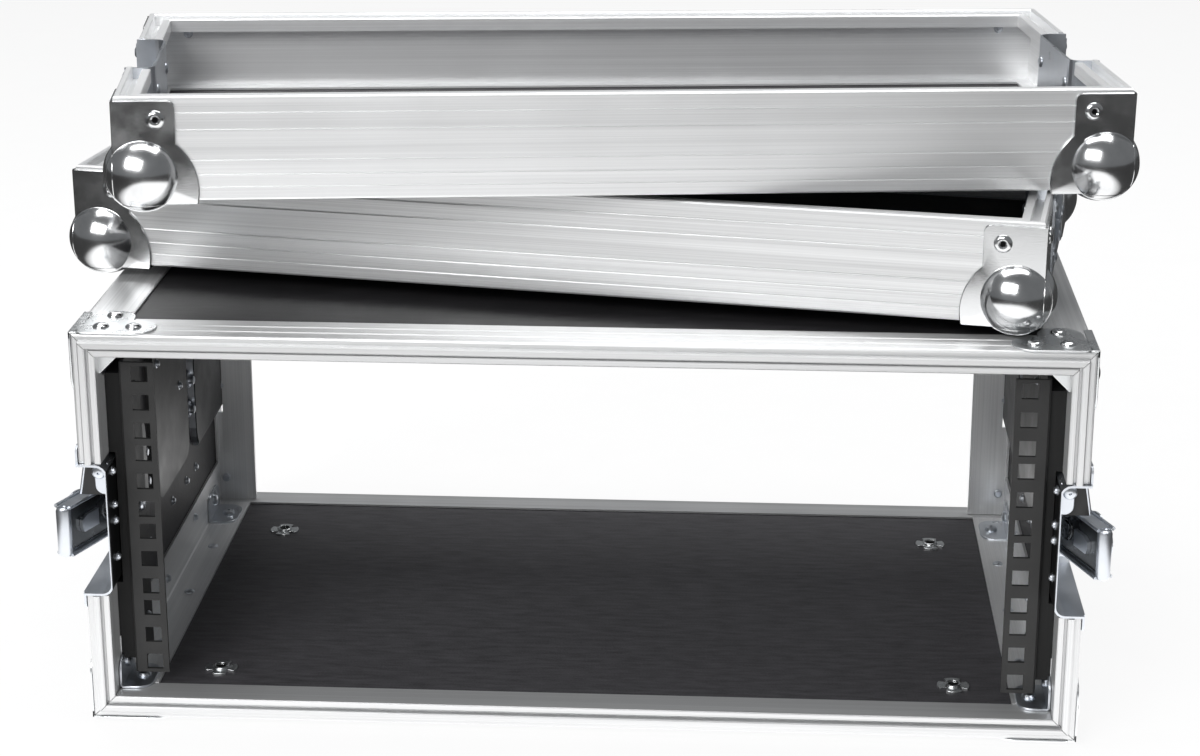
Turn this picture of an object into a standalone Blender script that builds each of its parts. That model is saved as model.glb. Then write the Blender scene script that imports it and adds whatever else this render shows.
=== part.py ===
"""Four-unit 19-inch rack flight case with its two lift-off lids stacked on top.

Metres, +Z up. The origin is the centre of the bottom panel's underside; the open front faces -Y.
"""
import math

import bmesh
import bpy
from mathutils import Matrix, Vector

MM = 0.001
GAP = 0.3 * MM

# Case body: outer sizes over the aluminium edging
CASE_WIDTH = 528 * MM
CASE_DEPTH = 306 * MM
CASE_HEIGHT = 218 * MM
PANEL = 9 * MM
SKIN = 1.5 * MM
HALF_W = CASE_WIDTH / 2
HALF_D = CASE_DEPTH / 2
HALF_H = CASE_HEIGHT / 2
PANEL_INSET = SKIN + GAP
MID_Z = HALF_H - PANEL_INSET
PANEL_OUT = HALF_W - PANEL_INSET
PANEL_IN = PANEL_OUT - PANEL
NOSE_DEPTH = 9 * MM
OUTER_LEG = 30 * MM
INNER_LEG = 20 * MM
INNER_LEG_FACE = PANEL_INSET + PANEL + GAP + 1.2 * MM
MITRE_GAP = 0.22 * MM
EDGE_ANGLE = 25 * MM
EDGE_RELIEF = 0.1 * MM
FLOOR_ANGLE_RISE = 28.5 * MM
FLOOR_ANGLE_THICK = 1.5 * MM

# 19-inch rack rails
RACK_UNIT = 44.45 * MM
UNITS = 4
HOLE_LINE = 232.56 * MM
RAIL_INNER = 225 * MM
RAIL_OUTER = 243.5 * MM
RAIL_SETBACK = 17.5 * MM
RAIL_THICK = 2 * MM
RAIL_LEG = 36 * MM
RAIL_HOLE = 8.8 * MM

# Recessed latch dishes in the sides, at the front and rear edges
DISH_HALF = 36 * MM
DISH_DEPTH = 14.2 * MM
DISH_LENGTH = 88 * MM
DISH_CORNER = 15 * MM
DISH_SHEET = 1.2 * MM
DISH_FLANGE = 9 * MM
DISH_BACK = HALF_W - DISH_DEPTH

# Swing-out butterfly latch
ARM_SWING = math.radians(21.5)
ARM_AXIS_OUT = 254.2 * MM
ARM_AXIS_IN = 46 * MM
ARM_LENGTH = 49 * MM
ARM_HALF = 13.4 * MM
ARM_WALL = 1.2 * MM
ARM_UNDER = 3.2 * MM
ARM_RISE = 5.6 * MM
ARM_BOSS_AT = 12.5 * MM
SPINDLE_AT = 29 * MM
DISC_RADIUS = 14.5 * MM
DISC_LOW = 6.6 * MM
DISC_HIGH = 7.6 * MM
WING_AXIS = 9.3 * MM

# Side handles
HANDLE_HALF_Y = 40 * MM
HANDLE_HALF_Z = 46 * MM
HANDLE_MID_Z = 126 * MM
HANDLE_FLANGE = (13 * MM, 18 * MM)
HANDLE_CORNER = 9 * MM
HANDLE_OUTER_CORNER = 12 * MM
HANDLE_BACK = 249.6 * MM
BAIL_AXIS_OUT = 255.4 * MM
BAIL_AXIS_Z = HANDLE_MID_Z + 30 * MM
BAIL_DROP = 54 * MM
BAIL_HALF = 31 * MM

# Lids, in their own frame: origin at the centre of the outer face, rim upwards
LID_HEIGHT = 55 * MM
LID_LEDGE = 11.1 * MM
BALL_RADIUS = 21 * MM
BALL_INSET = 14 * MM
BALL_FOOT = 18.4 * MM
PLATE_OUT = 1.5 * MM
PLATE_WIDTH = 31 * MM
LOBE_CENTRE = (10 * MM, 6 * MM)
LOBE_RADIUS = 32 * MM
BOTTOM_LOBE_CENTRE = 6 * MM
BOTTOM_LOBE_RADIUS = 35.4 * MM
CATCH_FLOOR = 17.3 * MM
CATCH_CORNER = 1.5 * MM
BODY_TOP = MID_Z + HALF_H
LOWER_AT = Vector((-6 * MM, 20.5 * MM, BODY_TOP + BALL_RADIUS - BALL_INSET + GAP))
LOWER_YAW = math.radians(-9.5)
UPPER_RISE = 59.1 * MM
UPPER_AT = Vector((9 * MM, 4.5 * MM, LOWER_AT.z + UPPER_RISE))
UPPER_YAW = math.radians(7.9)
UPPER_TILT = math.radians(0.528)
TILT_AXIS = Vector((0.217, 0.976, 0))


# ---------------------------------------------------------------- materials
def material(name, colour, roughness, metallic):
    mat = bpy.data.materials.new(name)
    mat.use_nodes = True
    shader = mat.node_tree.nodes["Principled BSDF"]
    shader.inputs["Base Color"].default_value = (*colour, 1)
    shader.inputs["Roughness"].default_value = roughness
    shader.inputs["Metallic"].default_value = metallic
    mat.diffuse_color = (*colour, 1)
    return mat


def make_materials():
    return {
        "aluminium": material("aluminium", (0.80, 0.81, 0.82), 0.32, 1.0),
        "laminate": material("laminate", (0.028, 0.029, 0.032), 0.55, 0.0),
        "rail_black": material("rail_black", (0.05, 0.05, 0.055), 0.5, 0.3),
        "batten": material("batten", (0.02, 0.02, 0.022), 0.7, 0.0),
        "zinc": material("zinc", (0.62, 0.65, 0.70), 0.25, 1.0),
        "chrome": material("chrome", (0.72, 0.72, 0.73), 0.12, 1.0),
        "handle_black": material("handle_black", (0.06, 0.06, 0.065), 0.4, 0.5),
    }


# ---------------------------------------------------------------- helpers
def box_mesh(low, high, place=None):
    """A box between two corners, moved through place when it is given."""
    mesh = bmesh.new()
    size = [b - a for a, b in zip(low, high)]
    centre = [(a + b) / 2 for a, b in zip(low, high)]
    bmesh.ops.create_cube(mesh, size=1, matrix=Matrix.Translation(centre) @ Matrix.Diagonal((*size, 1)))
    if place:
        for vert in mesh.verts:
            vert.co = place(*vert.co)
    return mesh


def prism(outline, low, high, place):
    """An outline of (a, b) points run from low to high; place(a, b, c) gives the position."""
    mesh = bmesh.new()
    first = [mesh.verts.new(place(a, b, low)) for a, b in outline]
    last = [mesh.verts.new(place(a, b, high)) for a, b in outline]
    mesh.faces.new(first)
    mesh.faces.new(reversed(last))
    for i in range(len(outline)):
        j = (i + 1) % len(outline)
        mesh.faces.new((first[i], last[i], last[j], first[j]))
    return mesh


def cylinder_mesh(centre, direction, radius, length, segments=16):
    """A cylinder centred on a point."""
    mesh = bmesh.new()
    turn = Vector((0, 0, 1)).rotation_difference(Vector(direction)).to_matrix().to_4x4()
    matrix = Matrix.Translation(centre) @ turn
    bmesh.ops.create_cone(mesh, cap_ends=True, segments=segments, radius1=radius, radius2=radius,
                          depth=length, matrix=matrix)
    return mesh


def arc(centre, radius, start, stop, steps):
    """Points on an arc, angles in degrees."""
    points = []
    for i in range(steps + 1):
        angle = math.radians(start + (stop - start) * i / steps)
        points.append((centre[0] + radius * math.cos(angle), centre[1] + radius * math.sin(angle)))
    return points


def rounded_rectangle(low, high, radius):
    """Anticlockwise outline with round corners."""
    (x0, y0), (x1, y1) = low, high
    r = radius
    corners = ((x1 - r, y0 + r, -90), (x1 - r, y1 - r, 0), (x0 + r, y1 - r, 90), (x0 + r, y0 + r, 180))
    points = []
    for x, y, start in corners:
        points += arc((x, y), r, start, start + 90, 3)
    return points


def solid(name, mesh, mat=None, smooth=False):
    """One named object holding a closed mesh in world coordinates."""
    bmesh.ops.recalc_face_normals(mesh, faces=mesh.faces)
    if mesh.calc_volume(signed=True) < 0:
        bmesh.ops.reverse_faces(mesh, faces=mesh.faces)
    data = bpy.data.meshes.new(name)
    mesh.to_mesh(data)
    mesh.free()
    obj = bpy.data.objects.new(name, data)
    bpy.context.collection.objects.link(obj)
    if mat:
        data.materials.append(mat)
    if smooth:
        data.shade_smooth()
        data.set_sharp_from_angle(angle=math.radians(32))
    return obj


def combine(target, mesh, operation="DIFFERENCE"):
    """Apply one Boolean to the target and throw the tool away."""
    tool = solid("tool", mesh)
    modifier = target.modifiers.new("combine", "BOOLEAN")
    modifier.operation = operation
    modifier.solver = "EXACT"
    modifier.object = tool
    bpy.context.view_layer.update()
    graph = bpy.context.evaluated_depsgraph_get()
    result = bpy.data.meshes.new_from_object(target.evaluated_get(graph))
    target.modifiers.remove(modifier)
    old = target.data
    target.data = result
    bpy.data.meshes.remove(old)
    tool_data = tool.data
    bpy.data.objects.remove(tool)
    bpy.data.meshes.remove(tool_data)
    return target


def join(target, mesh):
    return combine(target, mesh, "UNION")


def smooth_round(obj):
    obj.data.shade_smooth()
    obj.data.set_sharp_from_angle(angle=math.radians(32))


def set_pivot(obj, point):
    """Put the object's origin on its joint axis without moving its shape."""
    obj.data.transform(Matrix.Translation(-Vector(point)))
    obj.location = Vector(point)


def empty(name, matrix):
    obj = bpy.data.objects.new(name, None)
    bpy.context.collection.objects.link(obj)
    obj.matrix_world = matrix
    return obj


def case_place(side, end):
    """Positions from (out, depth, z): out from the middle, depth in from the front or rear face."""
    def place(out, depth, z):
        return Vector((side * out, end * (HALF_D - depth), z))
    return place


SIDES = {"left": -1, "right": 1}
ENDS = {"front": -1, "rear": 1}
LEVELS = {"bottom": -1, "top": 1}


# ---------------------------------------------------------------- case body
def tongue_profile():
    """Section of the edging that carries the tongue: (inward, depth) from the outer corner.

    Outer land, raised tongue, groove and inner land face the lid; two legs hold the panel.
    """
    face = [(0, 4.2), (0.35, 3.35), (1.2, 3.0), (3.8, 3.0), (3.8, 0.6), (4.4, 0), (6.9, 0), (7.5, 0.6),
            (7.5, 4.0), (8.9, 4.0), (8.9, 2.2), (9.3, 1.8), (11.8, 1.8), (12.3, 2.3)]
    ribs = [(0, 30), (0, 21.4), (0.45, 20.9), (0.45, 19.9), (0, 19.4), (0, 12.6), (0.45, 12.1),
            (0.45, 11.1), (0, 10.6)]
    points = [(a * MM, b * MM) for a, b in face]
    points += [(INNER_LEG_FACE, INNER_LEG), (INNER_LEG_FACE - 1.2 * MM, INNER_LEG)]
    points += [(INNER_LEG_FACE - 1.2 * MM, NOSE_DEPTH - GAP), (SKIN, NOSE_DEPTH - GAP), (SKIN, OUTER_LEG)]
    points += [(a * MM, b * MM) for a, b in ribs]
    return points


def mitred_length(profile, half_length, place):
    """A profile cut at 45 degrees at both ends; place(along, inward, depth) gives the position."""
    mesh = bmesh.new()
    rings = []
    for end in (-1, 1):
        ring = [mesh.verts.new(place(end * (half_length - u - MITRE_GAP), u, v)) for u, v in profile]
        rings.append(ring)
    for i in range(len(profile)):
        j = (i + 1) % len(profile)
        mesh.faces.new((rings[0][i], rings[1][i], rings[1][j], rings[0][j]))
    mesh.faces.new(rings[0])
    mesh.faces.new(reversed(rings[1]))
    return mesh


def make_frame_rail(name, end, level, mat):
    def place(along, inward, depth):
        return Vector((along, end * (HALF_D - depth), MID_Z + level * (HALF_H - inward)))
    return solid(name, mitred_length(tongue_profile(), HALF_W, place), mat)


def make_frame_post(name, side, end, mat):
    def place(along, inward, depth):
        return Vector((side * (HALF_W - inward), end * (HALF_D - depth), MID_Z + along))
    return solid(name, mitred_length(tongue_profile(), HALF_H, place), mat)


def dish_plan(front, length, half, radius):
    """A dish seen from the side, (along, up): square at its open front, round at its inner corners."""
    low = arc((length - radius, -half + radius), radius, 270, 360, 4)
    high = arc((length - radius, half - radius), radius, 0, 90, 4)
    return [(front, -half)] + low + high + [(front, half)]


def dish_clearance(side, end, extra):
    """The space that a latch dish needs in the post, panel and batten."""
    margin = DISH_SHEET + extra
    outline = dish_plan(-5 * MM, DISH_LENGTH + margin, DISH_HALF + margin, DISH_CORNER + margin)

    def place(along, up, out):
        return Vector((side * out, end * (HALF_D - along), MID_Z + up))
    return prism(outline, DISH_BACK - margin, HALF_W + 10 * MM, place)


def make_front_posts(mats):
    """Each front post is two lengths, above and below the latch dish."""
    for side_name, side in SIDES.items():
        for part, level in (("lower", -1), ("upper", 1)):
            post = make_frame_post(f"front_post_{side_name}_{part}", side, -1, mats["aluminium"])
            half = DISH_HALF + DISH_SHEET + GAP
            zs = sorted((MID_Z + level * half, MID_Z - level * 2 * HALF_H))
            combine(post, box_mesh((HALF_W - 60 * MM, -9 * MM, zs[0]), (HALF_W + 9 * MM, 60 * MM, zs[1]),
                                   case_place(side, -1)))


def make_rear_posts(mats):
    """Each rear post has a wide inner flange that runs unbroken past the latch dish."""
    reach = 35 * MM
    height = HALF_H - PANEL_INSET - PANEL - GAP - 1.5 * MM
    for side_name, side in SIDES.items():
        post = make_frame_post(f"rear_post_{side_name}", side, 1, mats["aluminium"])
        combine(post, dish_clearance(side, 1, GAP))
        low = (HALF_W - reach, 13 * MM, MID_Z - height)
        high = (HALF_W - INNER_LEG_FACE + 0.4 * MM, 14.6 * MM, MID_Z + height)
        flange = box_mesh(low, high, case_place(side, 1))
        join(post, flange)
        bead = box_mesh((HALF_W - reach, 11.6 * MM, MID_Z - height),
                        (HALF_W - reach + 2.2 * MM, 14.0 * MM, MID_Z + height), case_place(side, 1))
        join(post, bead)
        combine(post, dish_clearance(side, 1, GAP))


def make_frames(mats):
    for end_name, end in ENDS.items():
        for level_name, level in LEVELS.items():
            make_frame_rail(f"{end_name}_rail_{level_name}", end, level, mats["aluminium"])
    make_front_posts(mats)
    make_rear_posts(mats)


def make_panels(mats):
    laminate = mats["laminate"]
    depth = HALF_D - NOSE_DEPTH
    top = MID_Z + HALF_H - PANEL_INSET
    base = solid("panel_bottom", box_mesh((-PANEL_OUT, -depth, EDGE_RELIEF), (PANEL_OUT, depth, PANEL)),
                 laminate)
    pad_x, pad_y = HALF_W - EDGE_ANGLE - 2 * GAP, HALF_D - OUTER_LEG - 2 * GAP
    join(base, box_mesh((-pad_x, -pad_y, 0), (pad_x, pad_y, PANEL / 2)))
    solid("panel_top", box_mesh((-PANEL_OUT, -depth, top - PANEL), (PANEL_OUT, depth, top)), laminate)
    for side_name, side in SIDES.items():
        low = (PANEL_IN, NOSE_DEPTH, PANEL + GAP)
        high = (PANEL_OUT, CASE_DEPTH - NOSE_DEPTH, top - PANEL - GAP)
        panel = solid(f"panel_{side_name}", box_mesh(low, high, case_place(side, -1)), laminate)
        for end in ENDS.values():
            combine(panel, dish_clearance(side, end, GAP))
        combine(panel, handle_opening(side, DISH_SHEET + GAP, PANEL_IN - 9 * MM, PANEL_OUT + 9 * MM))


def make_edge_angles(mats):
    """Right-angle edging over the four long edges, between the front and rear frames."""
    for side_name, side in SIDES.items():
        for level_name, level in LEVELS.items():
            def place(inward, down, y, side=side, level=level):
                return Vector((side * (HALF_W - inward), y, MID_Z + level * (HALF_H - down)))
            corner = arc((1.6 * MM, 1.6 * MM), 1.6 * MM, 270, 180, 4)
            outline = [(EDGE_ANGLE, SKIN), (EDGE_ANGLE, 0.5 * MM), (EDGE_ANGLE - 1 * MM, 0)] + corner
            outline += [(0, EDGE_ANGLE - 1 * MM), (0.5 * MM, EDGE_ANGLE), (SKIN, EDGE_ANGLE), (SKIN, SKIN)]
            reach = HALF_D - OUTER_LEG - GAP
            solid(f"edge_angle_{level_name}_{side_name}", prism(outline, -reach, reach, place),
                  mats["aluminium"])


def make_floor_angles(mats):
    """Inside angles that tie the floor to the side walls."""
    wall = HALF_W - INNER_LEG_FACE + 1.2 * MM
    floor = PANEL + GAP
    thick = FLOOR_ANGLE_THICK
    for side_name, side in SIDES.items():
        def place(inward, up, y, side=side):
            return Vector((side * (wall - inward), y, floor + up))
        outline = [(0, 0), (21 * MM, 0), (21 * MM, thick), (thick + 0.8 * MM, thick),
                   (thick, thick + 0.8 * MM), (thick, FLOOR_ANGLE_RISE), (0, FLOOR_ANGLE_RISE)]
        reach = HALF_D - INNER_LEG - GAP
        solid(f"floor_angle_{side_name}", prism(outline, -reach, reach, place), mats["aluminium"])


def make_rack_rails(mats):
    """Angle rails with three square holes to the rack unit, each on a black batten."""
    rail_half = UNITS * RACK_UNIT / 2
    hole_offsets = (6.35 * MM, 22.225 * MM, 38.1 * MM)
    for side_name, side in SIDES.items():
        place = case_place(side, -1)
        outline = [(RAIL_INNER, RAIL_SETBACK), (RAIL_OUTER - 1.2 * MM, RAIL_SETBACK),
                   (RAIL_OUTER, RAIL_SETBACK + 1.2 * MM), (RAIL_OUTER, RAIL_SETBACK + RAIL_LEG),
                   (RAIL_OUTER - RAIL_THICK, RAIL_SETBACK + RAIL_LEG),
                   (RAIL_OUTER - RAIL_THICK, RAIL_SETBACK + RAIL_THICK),
                   (RAIL_INNER, RAIL_SETBACK + RAIL_THICK)]
        rail = solid(f"rack_rail_{side_name}",
                     prism(outline, MID_Z - rail_half, MID_Z + rail_half, place), mats["rail_black"])
        half = RAIL_HOLE / 2
        for unit in range(UNITS):
            for offset in hole_offsets:
                z = MID_Z + rail_half - unit * RACK_UNIT - offset
                combine(rail, box_mesh((HOLE_LINE - half, RAIL_SETBACK - 3 * MM, z - half),
                                       (HOLE_LINE + half, RAIL_SETBACK + 5 * MM, z + half), place))
        low = (RAIL_OUTER + GAP, INNER_LEG + GAP, MID_Z - 82 * MM)
        high = (PANEL_IN - GAP, RAIL_SETBACK + 42 * MM, MID_Z + 82 * MM)
        batten = solid(f"rail_batten_{side_name}", box_mesh(low, high, place), mats["batten"])
        combine(batten, dish_clearance(side, -1, GAP))
        angle_face = PANEL_IN - GAP - FLOOR_ANGLE_THICK - GAP
        angle_top = PANEL + GAP + FLOOR_ANGLE_RISE + GAP
        combine(batten, box_mesh((angle_face, INNER_LEG - 3 * MM, 0), (PANEL_IN + 3 * MM, 90 * MM, angle_top),
                                 place))


# ---------------------------------------------------------------- side handles
def handle_opening(side, margin, low_out, high_out):
    """A round-cornered block through the side wall, as large as the handle pan plus a margin."""
    outline = rounded_rectangle((-HANDLE_HALF_Y - margin, HANDLE_MID_Z - HANDLE_HALF_Z - margin),
                                (HANDLE_HALF_Y + margin, HANDLE_MID_Z + HANDLE_HALF_Z + margin),
                                HANDLE_CORNER + margin)

    def place(y, z, out):
        return Vector((side * out, y, z))
    return prism(outline, low_out, high_out, place)


def make_handle_pan(side_name, side, mats):
    face = PANEL_OUT + GAP
    half_y, half_z = HANDLE_HALF_Y + HANDLE_FLANGE[0], HANDLE_HALF_Z + HANDLE_FLANGE[1]
    outer = rounded_rectangle((-half_y, HANDLE_MID_Z - half_z), (half_y, HANDLE_MID_Z + half_z),
                              HANDLE_OUTER_CORNER)

    def place(y, z, out):
        return Vector((side * out, y, z))
    pan = solid(f"handle_pan_{side_name}", prism(outer, face, face + DISH_SHEET, place),
                mats["handle_black"])
    join(pan, handle_opening(side, DISH_SHEET, HANDLE_BACK - DISH_SHEET, face + 0.6 * MM))
    combine(pan, handle_opening(side, 0, HANDLE_BACK, face + 9 * MM))
    for ear in (-1, 1):
        y = ear * (BAIL_HALF + 6.2 * MM)
        low = (HANDLE_BACK - 0.4 * MM, y - 1.2 * MM, BAIL_AXIS_Z - 5 * MM)
        high = (BAIL_AXIS_OUT + 4.5 * MM, y + 1.2 * MM, BAIL_AXIS_Z + 5 * MM)

        def place_ear(out, across, z):
            return Vector((side * out, across, z))
        join(pan, box_mesh(low, high, place_ear))


def make_handle_bail(side_name, side, mats):
    """Two arms hang from a pivot near the top of the pan and carry the grip."""
    axis = Vector((side * BAIL_AXIS_OUT, 0, BAIL_AXIS_Z))
    bail = solid(f"handle_bail_{side_name}",
                 cylinder_mesh(axis - Vector((0, 0, BAIL_DROP)), (0, 1, 0), 5.2 * MM, 2 * BAIL_HALF - 2 * MM, 16),
                 mats["handle_black"])
    for arm in (-1, 1):
        y = arm * BAIL_HALF
        low = (BAIL_AXIS_OUT - 3 * MM, y - 4 * MM, BAIL_AXIS_Z - BAIL_DROP - 3.4 * MM)
        high = (BAIL_AXIS_OUT + 3 * MM, y + 4 * MM, BAIL_AXIS_Z)

        def place(out, across, z):
            return Vector((side * out, across, z))
        join(bail, box_mesh(low, high, place))
        join(bail, cylinder_mesh(axis + Vector((0, y, 0)), (0, 1, 0), 3.6 * MM, 8 * MM, 12))
    set_pivot(bail, axis)
    smooth_round(bail)


def make_handles(mats):
    for side_name, side in SIDES.items():
        make_handle_pan(side_name, side, mats)
        make_handle_bail(side_name, side, mats)


# ---------------------------------------------------------------- latches
def dish_section(inner):
    """Half section of a dish across its length: (out, up) with a round corner at the back."""
    sheet = 0 if inner else DISH_SHEET
    back = DISH_BACK - sheet
    half = DISH_HALF + sheet
    radius = 5 * MM + sheet
    low = arc((back + radius, -half + radius), radius, 270, 180, 4)
    high = arc((back + radius, half - radius), radius, 180, 90, 4)
    mouth = HALF_W + (9 * MM if inner else GAP + 0.6 * MM)
    return [(mouth, -half)] + low + high + [(mouth, half)]


def dish_block(inner, front, length, radius, place):
    """The outer or inner form of a dish: its section run back and rounded at the inner corners."""
    def place_run(out, up, along):
        return place(out, along, up)

    def place_plan(along, up, out):
        return place(out, along, up)
    half = DISH_HALF + (0 if inner else DISH_SHEET)
    block = solid("block", prism(dish_section(inner), front, length, place_run))
    plan = dish_plan(front - 3 * MM, length, half + 0.01 * MM, radius)
    combine(block, prism(plan, DISH_BACK - 9 * MM, HALF_W + 12 * MM, place_plan), "INTERSECT")
    mesh = bmesh.new()
    mesh.from_mesh(block.data)
    data = block.data
    bpy.data.objects.remove(block)
    bpy.data.meshes.remove(data)
    return mesh


def make_dish(name, place, front, length, corner, mats):
    """A pan open at its mouth and at one end; place(out, along, up) gives the position."""
    face = HALF_W + GAP
    reach = DISH_HALF + DISH_SHEET + DISH_FLANGE
    far = length + DISH_SHEET + DISH_FLANGE
    flange = rounded_rectangle((front + 2.6 * MM, -reach), (far, reach), 3 * MM)

    def place_flange(along, up, out):
        return place(out, along, up)
    dish = solid(name, prism(flange, face, face + DISH_SHEET, place_flange), mats["zinc"])
    join(dish, dish_block(False, front, length + DISH_SHEET, corner + DISH_SHEET, place))
    combine(dish, dish_block(True, front - 9 * MM, length, corner, place))
    return dish


def swing_out(side, end, pivot):
    """The turn that swings a latch arm from its dish to its open rest position."""
    turn = Matrix.Rotation(-side * end * ARM_SWING, 4, "Z")
    return Matrix.Translation(pivot) @ turn @ Matrix.Translation(-pivot)


def make_latch_arm(name, side, end, mats):
    """Channel on a hinge barrel; its front lip draws on the lid's catch."""
    place = case_place(side, end)
    tip = ARM_AXIS_IN - ARM_LENGTH
    plate_low, plate_high = ARM_AXIS_OUT - 1 * MM, ARM_AXIS_OUT + 1 * MM
    arm = solid(name, box_mesh((plate_low, tip, MID_Z - ARM_HALF), (plate_high, ARM_AXIS_IN, MID_Z + ARM_HALF),
                               place), mats["zinc"])
    pivot = place(ARM_AXIS_OUT, ARM_AXIS_IN, MID_Z)
    join(arm, cylinder_mesh(pivot, (0, 0, 1), 3 * MM, 30 * MM, 12))
    lip = rounded_rectangle((ARM_AXIS_OUT - ARM_UNDER, tip - 2.6 * MM),
                            (ARM_AXIS_OUT + 3.6 * MM, tip + 1 * MM), 1.2 * MM)
    join(arm, prism(lip, MID_Z - ARM_HALF, MID_Z + ARM_HALF, place))
    for level in (-1, 1):
        z = MID_Z + level * (ARM_HALF - ARM_WALL / 2)
        join(arm, box_mesh((ARM_AXIS_OUT - ARM_UNDER, tip, z - ARM_WALL / 2),
                           (ARM_AXIS_OUT + ARM_RISE, ARM_AXIS_IN - 6 * MM, z + ARM_WALL / 2), place))
    boss = place(ARM_AXIS_OUT - 1.7 * MM, ARM_AXIS_IN - ARM_BOSS_AT, MID_Z)
    join(arm, cylinder_mesh(boss, (1, 0, 0), 4.6 * MM, 1.8 * MM, 20))
    centre = place(ARM_AXIS_OUT, ARM_AXIS_IN - SPINDLE_AT, MID_Z)
    combine(arm, cylinder_mesh(centre, (1, 0, 0), 4.4 * MM, 20 * MM, 20))
    return arm, pivot


def make_latch_spindle(name, side, end, mats):
    """Shaft through the arm with a drum and a round plate outside it and a cam tongue inside it."""
    place = case_place(side, end)
    depth = ARM_AXIS_IN - SPINDLE_AT
    outward = Vector((side, 0, 0))
    low, high = -3.4 * MM, DISC_HIGH
    middle = place(ARM_AXIS_OUT, depth, MID_Z) + outward * (low + high) / 2
    spindle = solid(name, cylinder_mesh(middle, (1, 0, 0), 4 * MM, high - low, 20), mats["zinc"])
    drum = place(ARM_AXIS_OUT + 2.9 * MM, depth, MID_Z)
    join(spindle, cylinder_mesh(drum, (1, 0, 0), 10 * MM, 3 * MM, 24))
    disc = place(ARM_AXIS_OUT + (DISC_LOW + DISC_HIGH) / 2, depth, MID_Z)
    join(spindle, cylinder_mesh(disc, (1, 0, 0), DISC_RADIUS, DISC_HIGH - DISC_LOW, 32))
    cam = [(-4.5, -5), (4.5, -5), (4.5, 5), (2.6, 9.4), (-1, 9.9), (-4.5, 8)]
    outline = [(a * MM, b * MM) for a, b in cam]

    def place_cam(up, forward, out):
        return place(ARM_AXIS_OUT + out, depth - forward, MID_Z + up)
    join(spindle, prism(outline, -3.4 * MM, -1.4 * MM, place_cam))
    for ear in (-1, 1):
        z = MID_Z + ear * 7.2 * MM
        join(spindle, box_mesh((ARM_AXIS_OUT + DISC_HIGH - 0.3 * MM, depth - 1.9 * MM, z - 0.9 * MM),
                               (ARM_AXIS_OUT + WING_AXIS + 1.4 * MM, depth + 1.9 * MM, z + 0.9 * MM), place))
    return spindle


def make_latch_wing(name, side, end, mats):
    """Half-disc thumb plate on a barrel between the round plate's ears, folded flat at rest."""
    place = case_place(side, end)
    depth = ARM_AXIS_IN - SPINDLE_AT
    barrel = place(ARM_AXIS_OUT + WING_AXIS, depth, MID_Z)
    wing = solid(name, cylinder_mesh(barrel, (0, 0, 1), 1.4 * MM, 12 * MM, 12), mats["zinc"])
    lobe = [(0, 5.6), (2.4, 5.6), (2.4, 9.4)] + arc((0, 0), 13, 50, 0, 6)
    half = [(a * MM, b * MM) for a, b in lobe]
    outline = half + [(a, -b) for a, b in reversed(half[:-1])]

    def place_lobe(along, up, out):
        return place(ARM_AXIS_OUT + out, depth - along, MID_Z + up)
    join(wing, prism(outline, WING_AXIS - 0.6 * MM, WING_AXIS + 0.6 * MM, place_lobe))
    return wing, barrel


def make_latches(mats):
    for end_name, end in ENDS.items():
        for side_name, side in SIDES.items():
            name = f"latch_{end_name}_{side_name}"

            def place(out, along, up, side=side, end=end):
                return Vector((side * out, end * (HALF_D - along), MID_Z + up))
            dish = make_dish(f"{name}_dish", place, 0.8 * MM, DISH_LENGTH, DISH_CORNER, mats)
            for lug in (-1, 1):
                up = lug * 16.6 * MM
                low = (DISH_BACK - 0.4 * MM, ARM_AXIS_IN - 3.5 * MM, up - 1 * MM)
                join(dish, box_mesh(low, (ARM_AXIS_OUT + 3.4 * MM, ARM_AXIS_IN + 3.5 * MM, up + 1 * MM), place))
            arm, pivot = make_latch_arm(f"{name}_arm", side, end, mats)
            spindle = make_latch_spindle(f"{name}_spindle", side, end, mats)
            wing, barrel = make_latch_wing(f"{name}_wing", side, end, mats)
            turn = swing_out(side, end, pivot)
            centre = case_place(side, end)(ARM_AXIS_OUT, ARM_AXIS_IN - SPINDLE_AT, MID_Z)
            for obj, point in ((arm, pivot), (spindle, centre), (wing, barrel)):
                obj.data.transform(turn)
                set_pivot(obj, turn @ Vector(point))
                smooth_round(obj)


# ---------------------------------------------------------------- lids
def lid_profile():
    """Section of the lid's wall: (inward, up) from the outer bottom corner, with the rim's channel."""
    groove_heights = (46.2, 37.4, 21.4, 13.8, 7.2)
    rim = [(0, 54.2), (0.8, 55), (3.0, 55), (3.5, 54.5), (3.5, 48.3), (8.3, 48.3), (8.3, 53.1), (8.7, 53.5),
           (12.6, 53.5), (13, 53.1), (13, 46.3), (2, 46.3), (2, 12.3), (11, 12.3), (11, 11.1), (1.5, 11.1),
           (1.5, 1.5), (26, 1.5), (26, 0.6), (25.4, 0), (1.2, 0), (0.35, 0.35), (0, 1.2)]
    points = [(a * MM, b * MM) for a, b in rim]
    for height in reversed(groove_heights):
        points += [(0, (height - 0.5) * MM), (0.4 * MM, height * MM), (0, (height + 0.5) * MM)]
    return points


def lid_ring_mesh():
    """The wall's section run round the lid's four sides with square mitred corners."""
    profile = lid_profile()
    mesh = bmesh.new()
    rings = []
    for corner_x, corner_y in ((-1, -1), (1, -1), (1, 1), (-1, 1)):
        ring = [mesh.verts.new((corner_x * (HALF_W - u), corner_y * (HALF_H - u), w)) for u, w in profile]
        rings.append(ring)
    for k in range(4):
        ring, following = rings[k], rings[(k + 1) % 4]
        for i in range(len(profile)):
            j = (i + 1) % len(profile)
            mesh.faces.new((ring[i], following[i], following[j], ring[j]))
    return mesh


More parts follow.
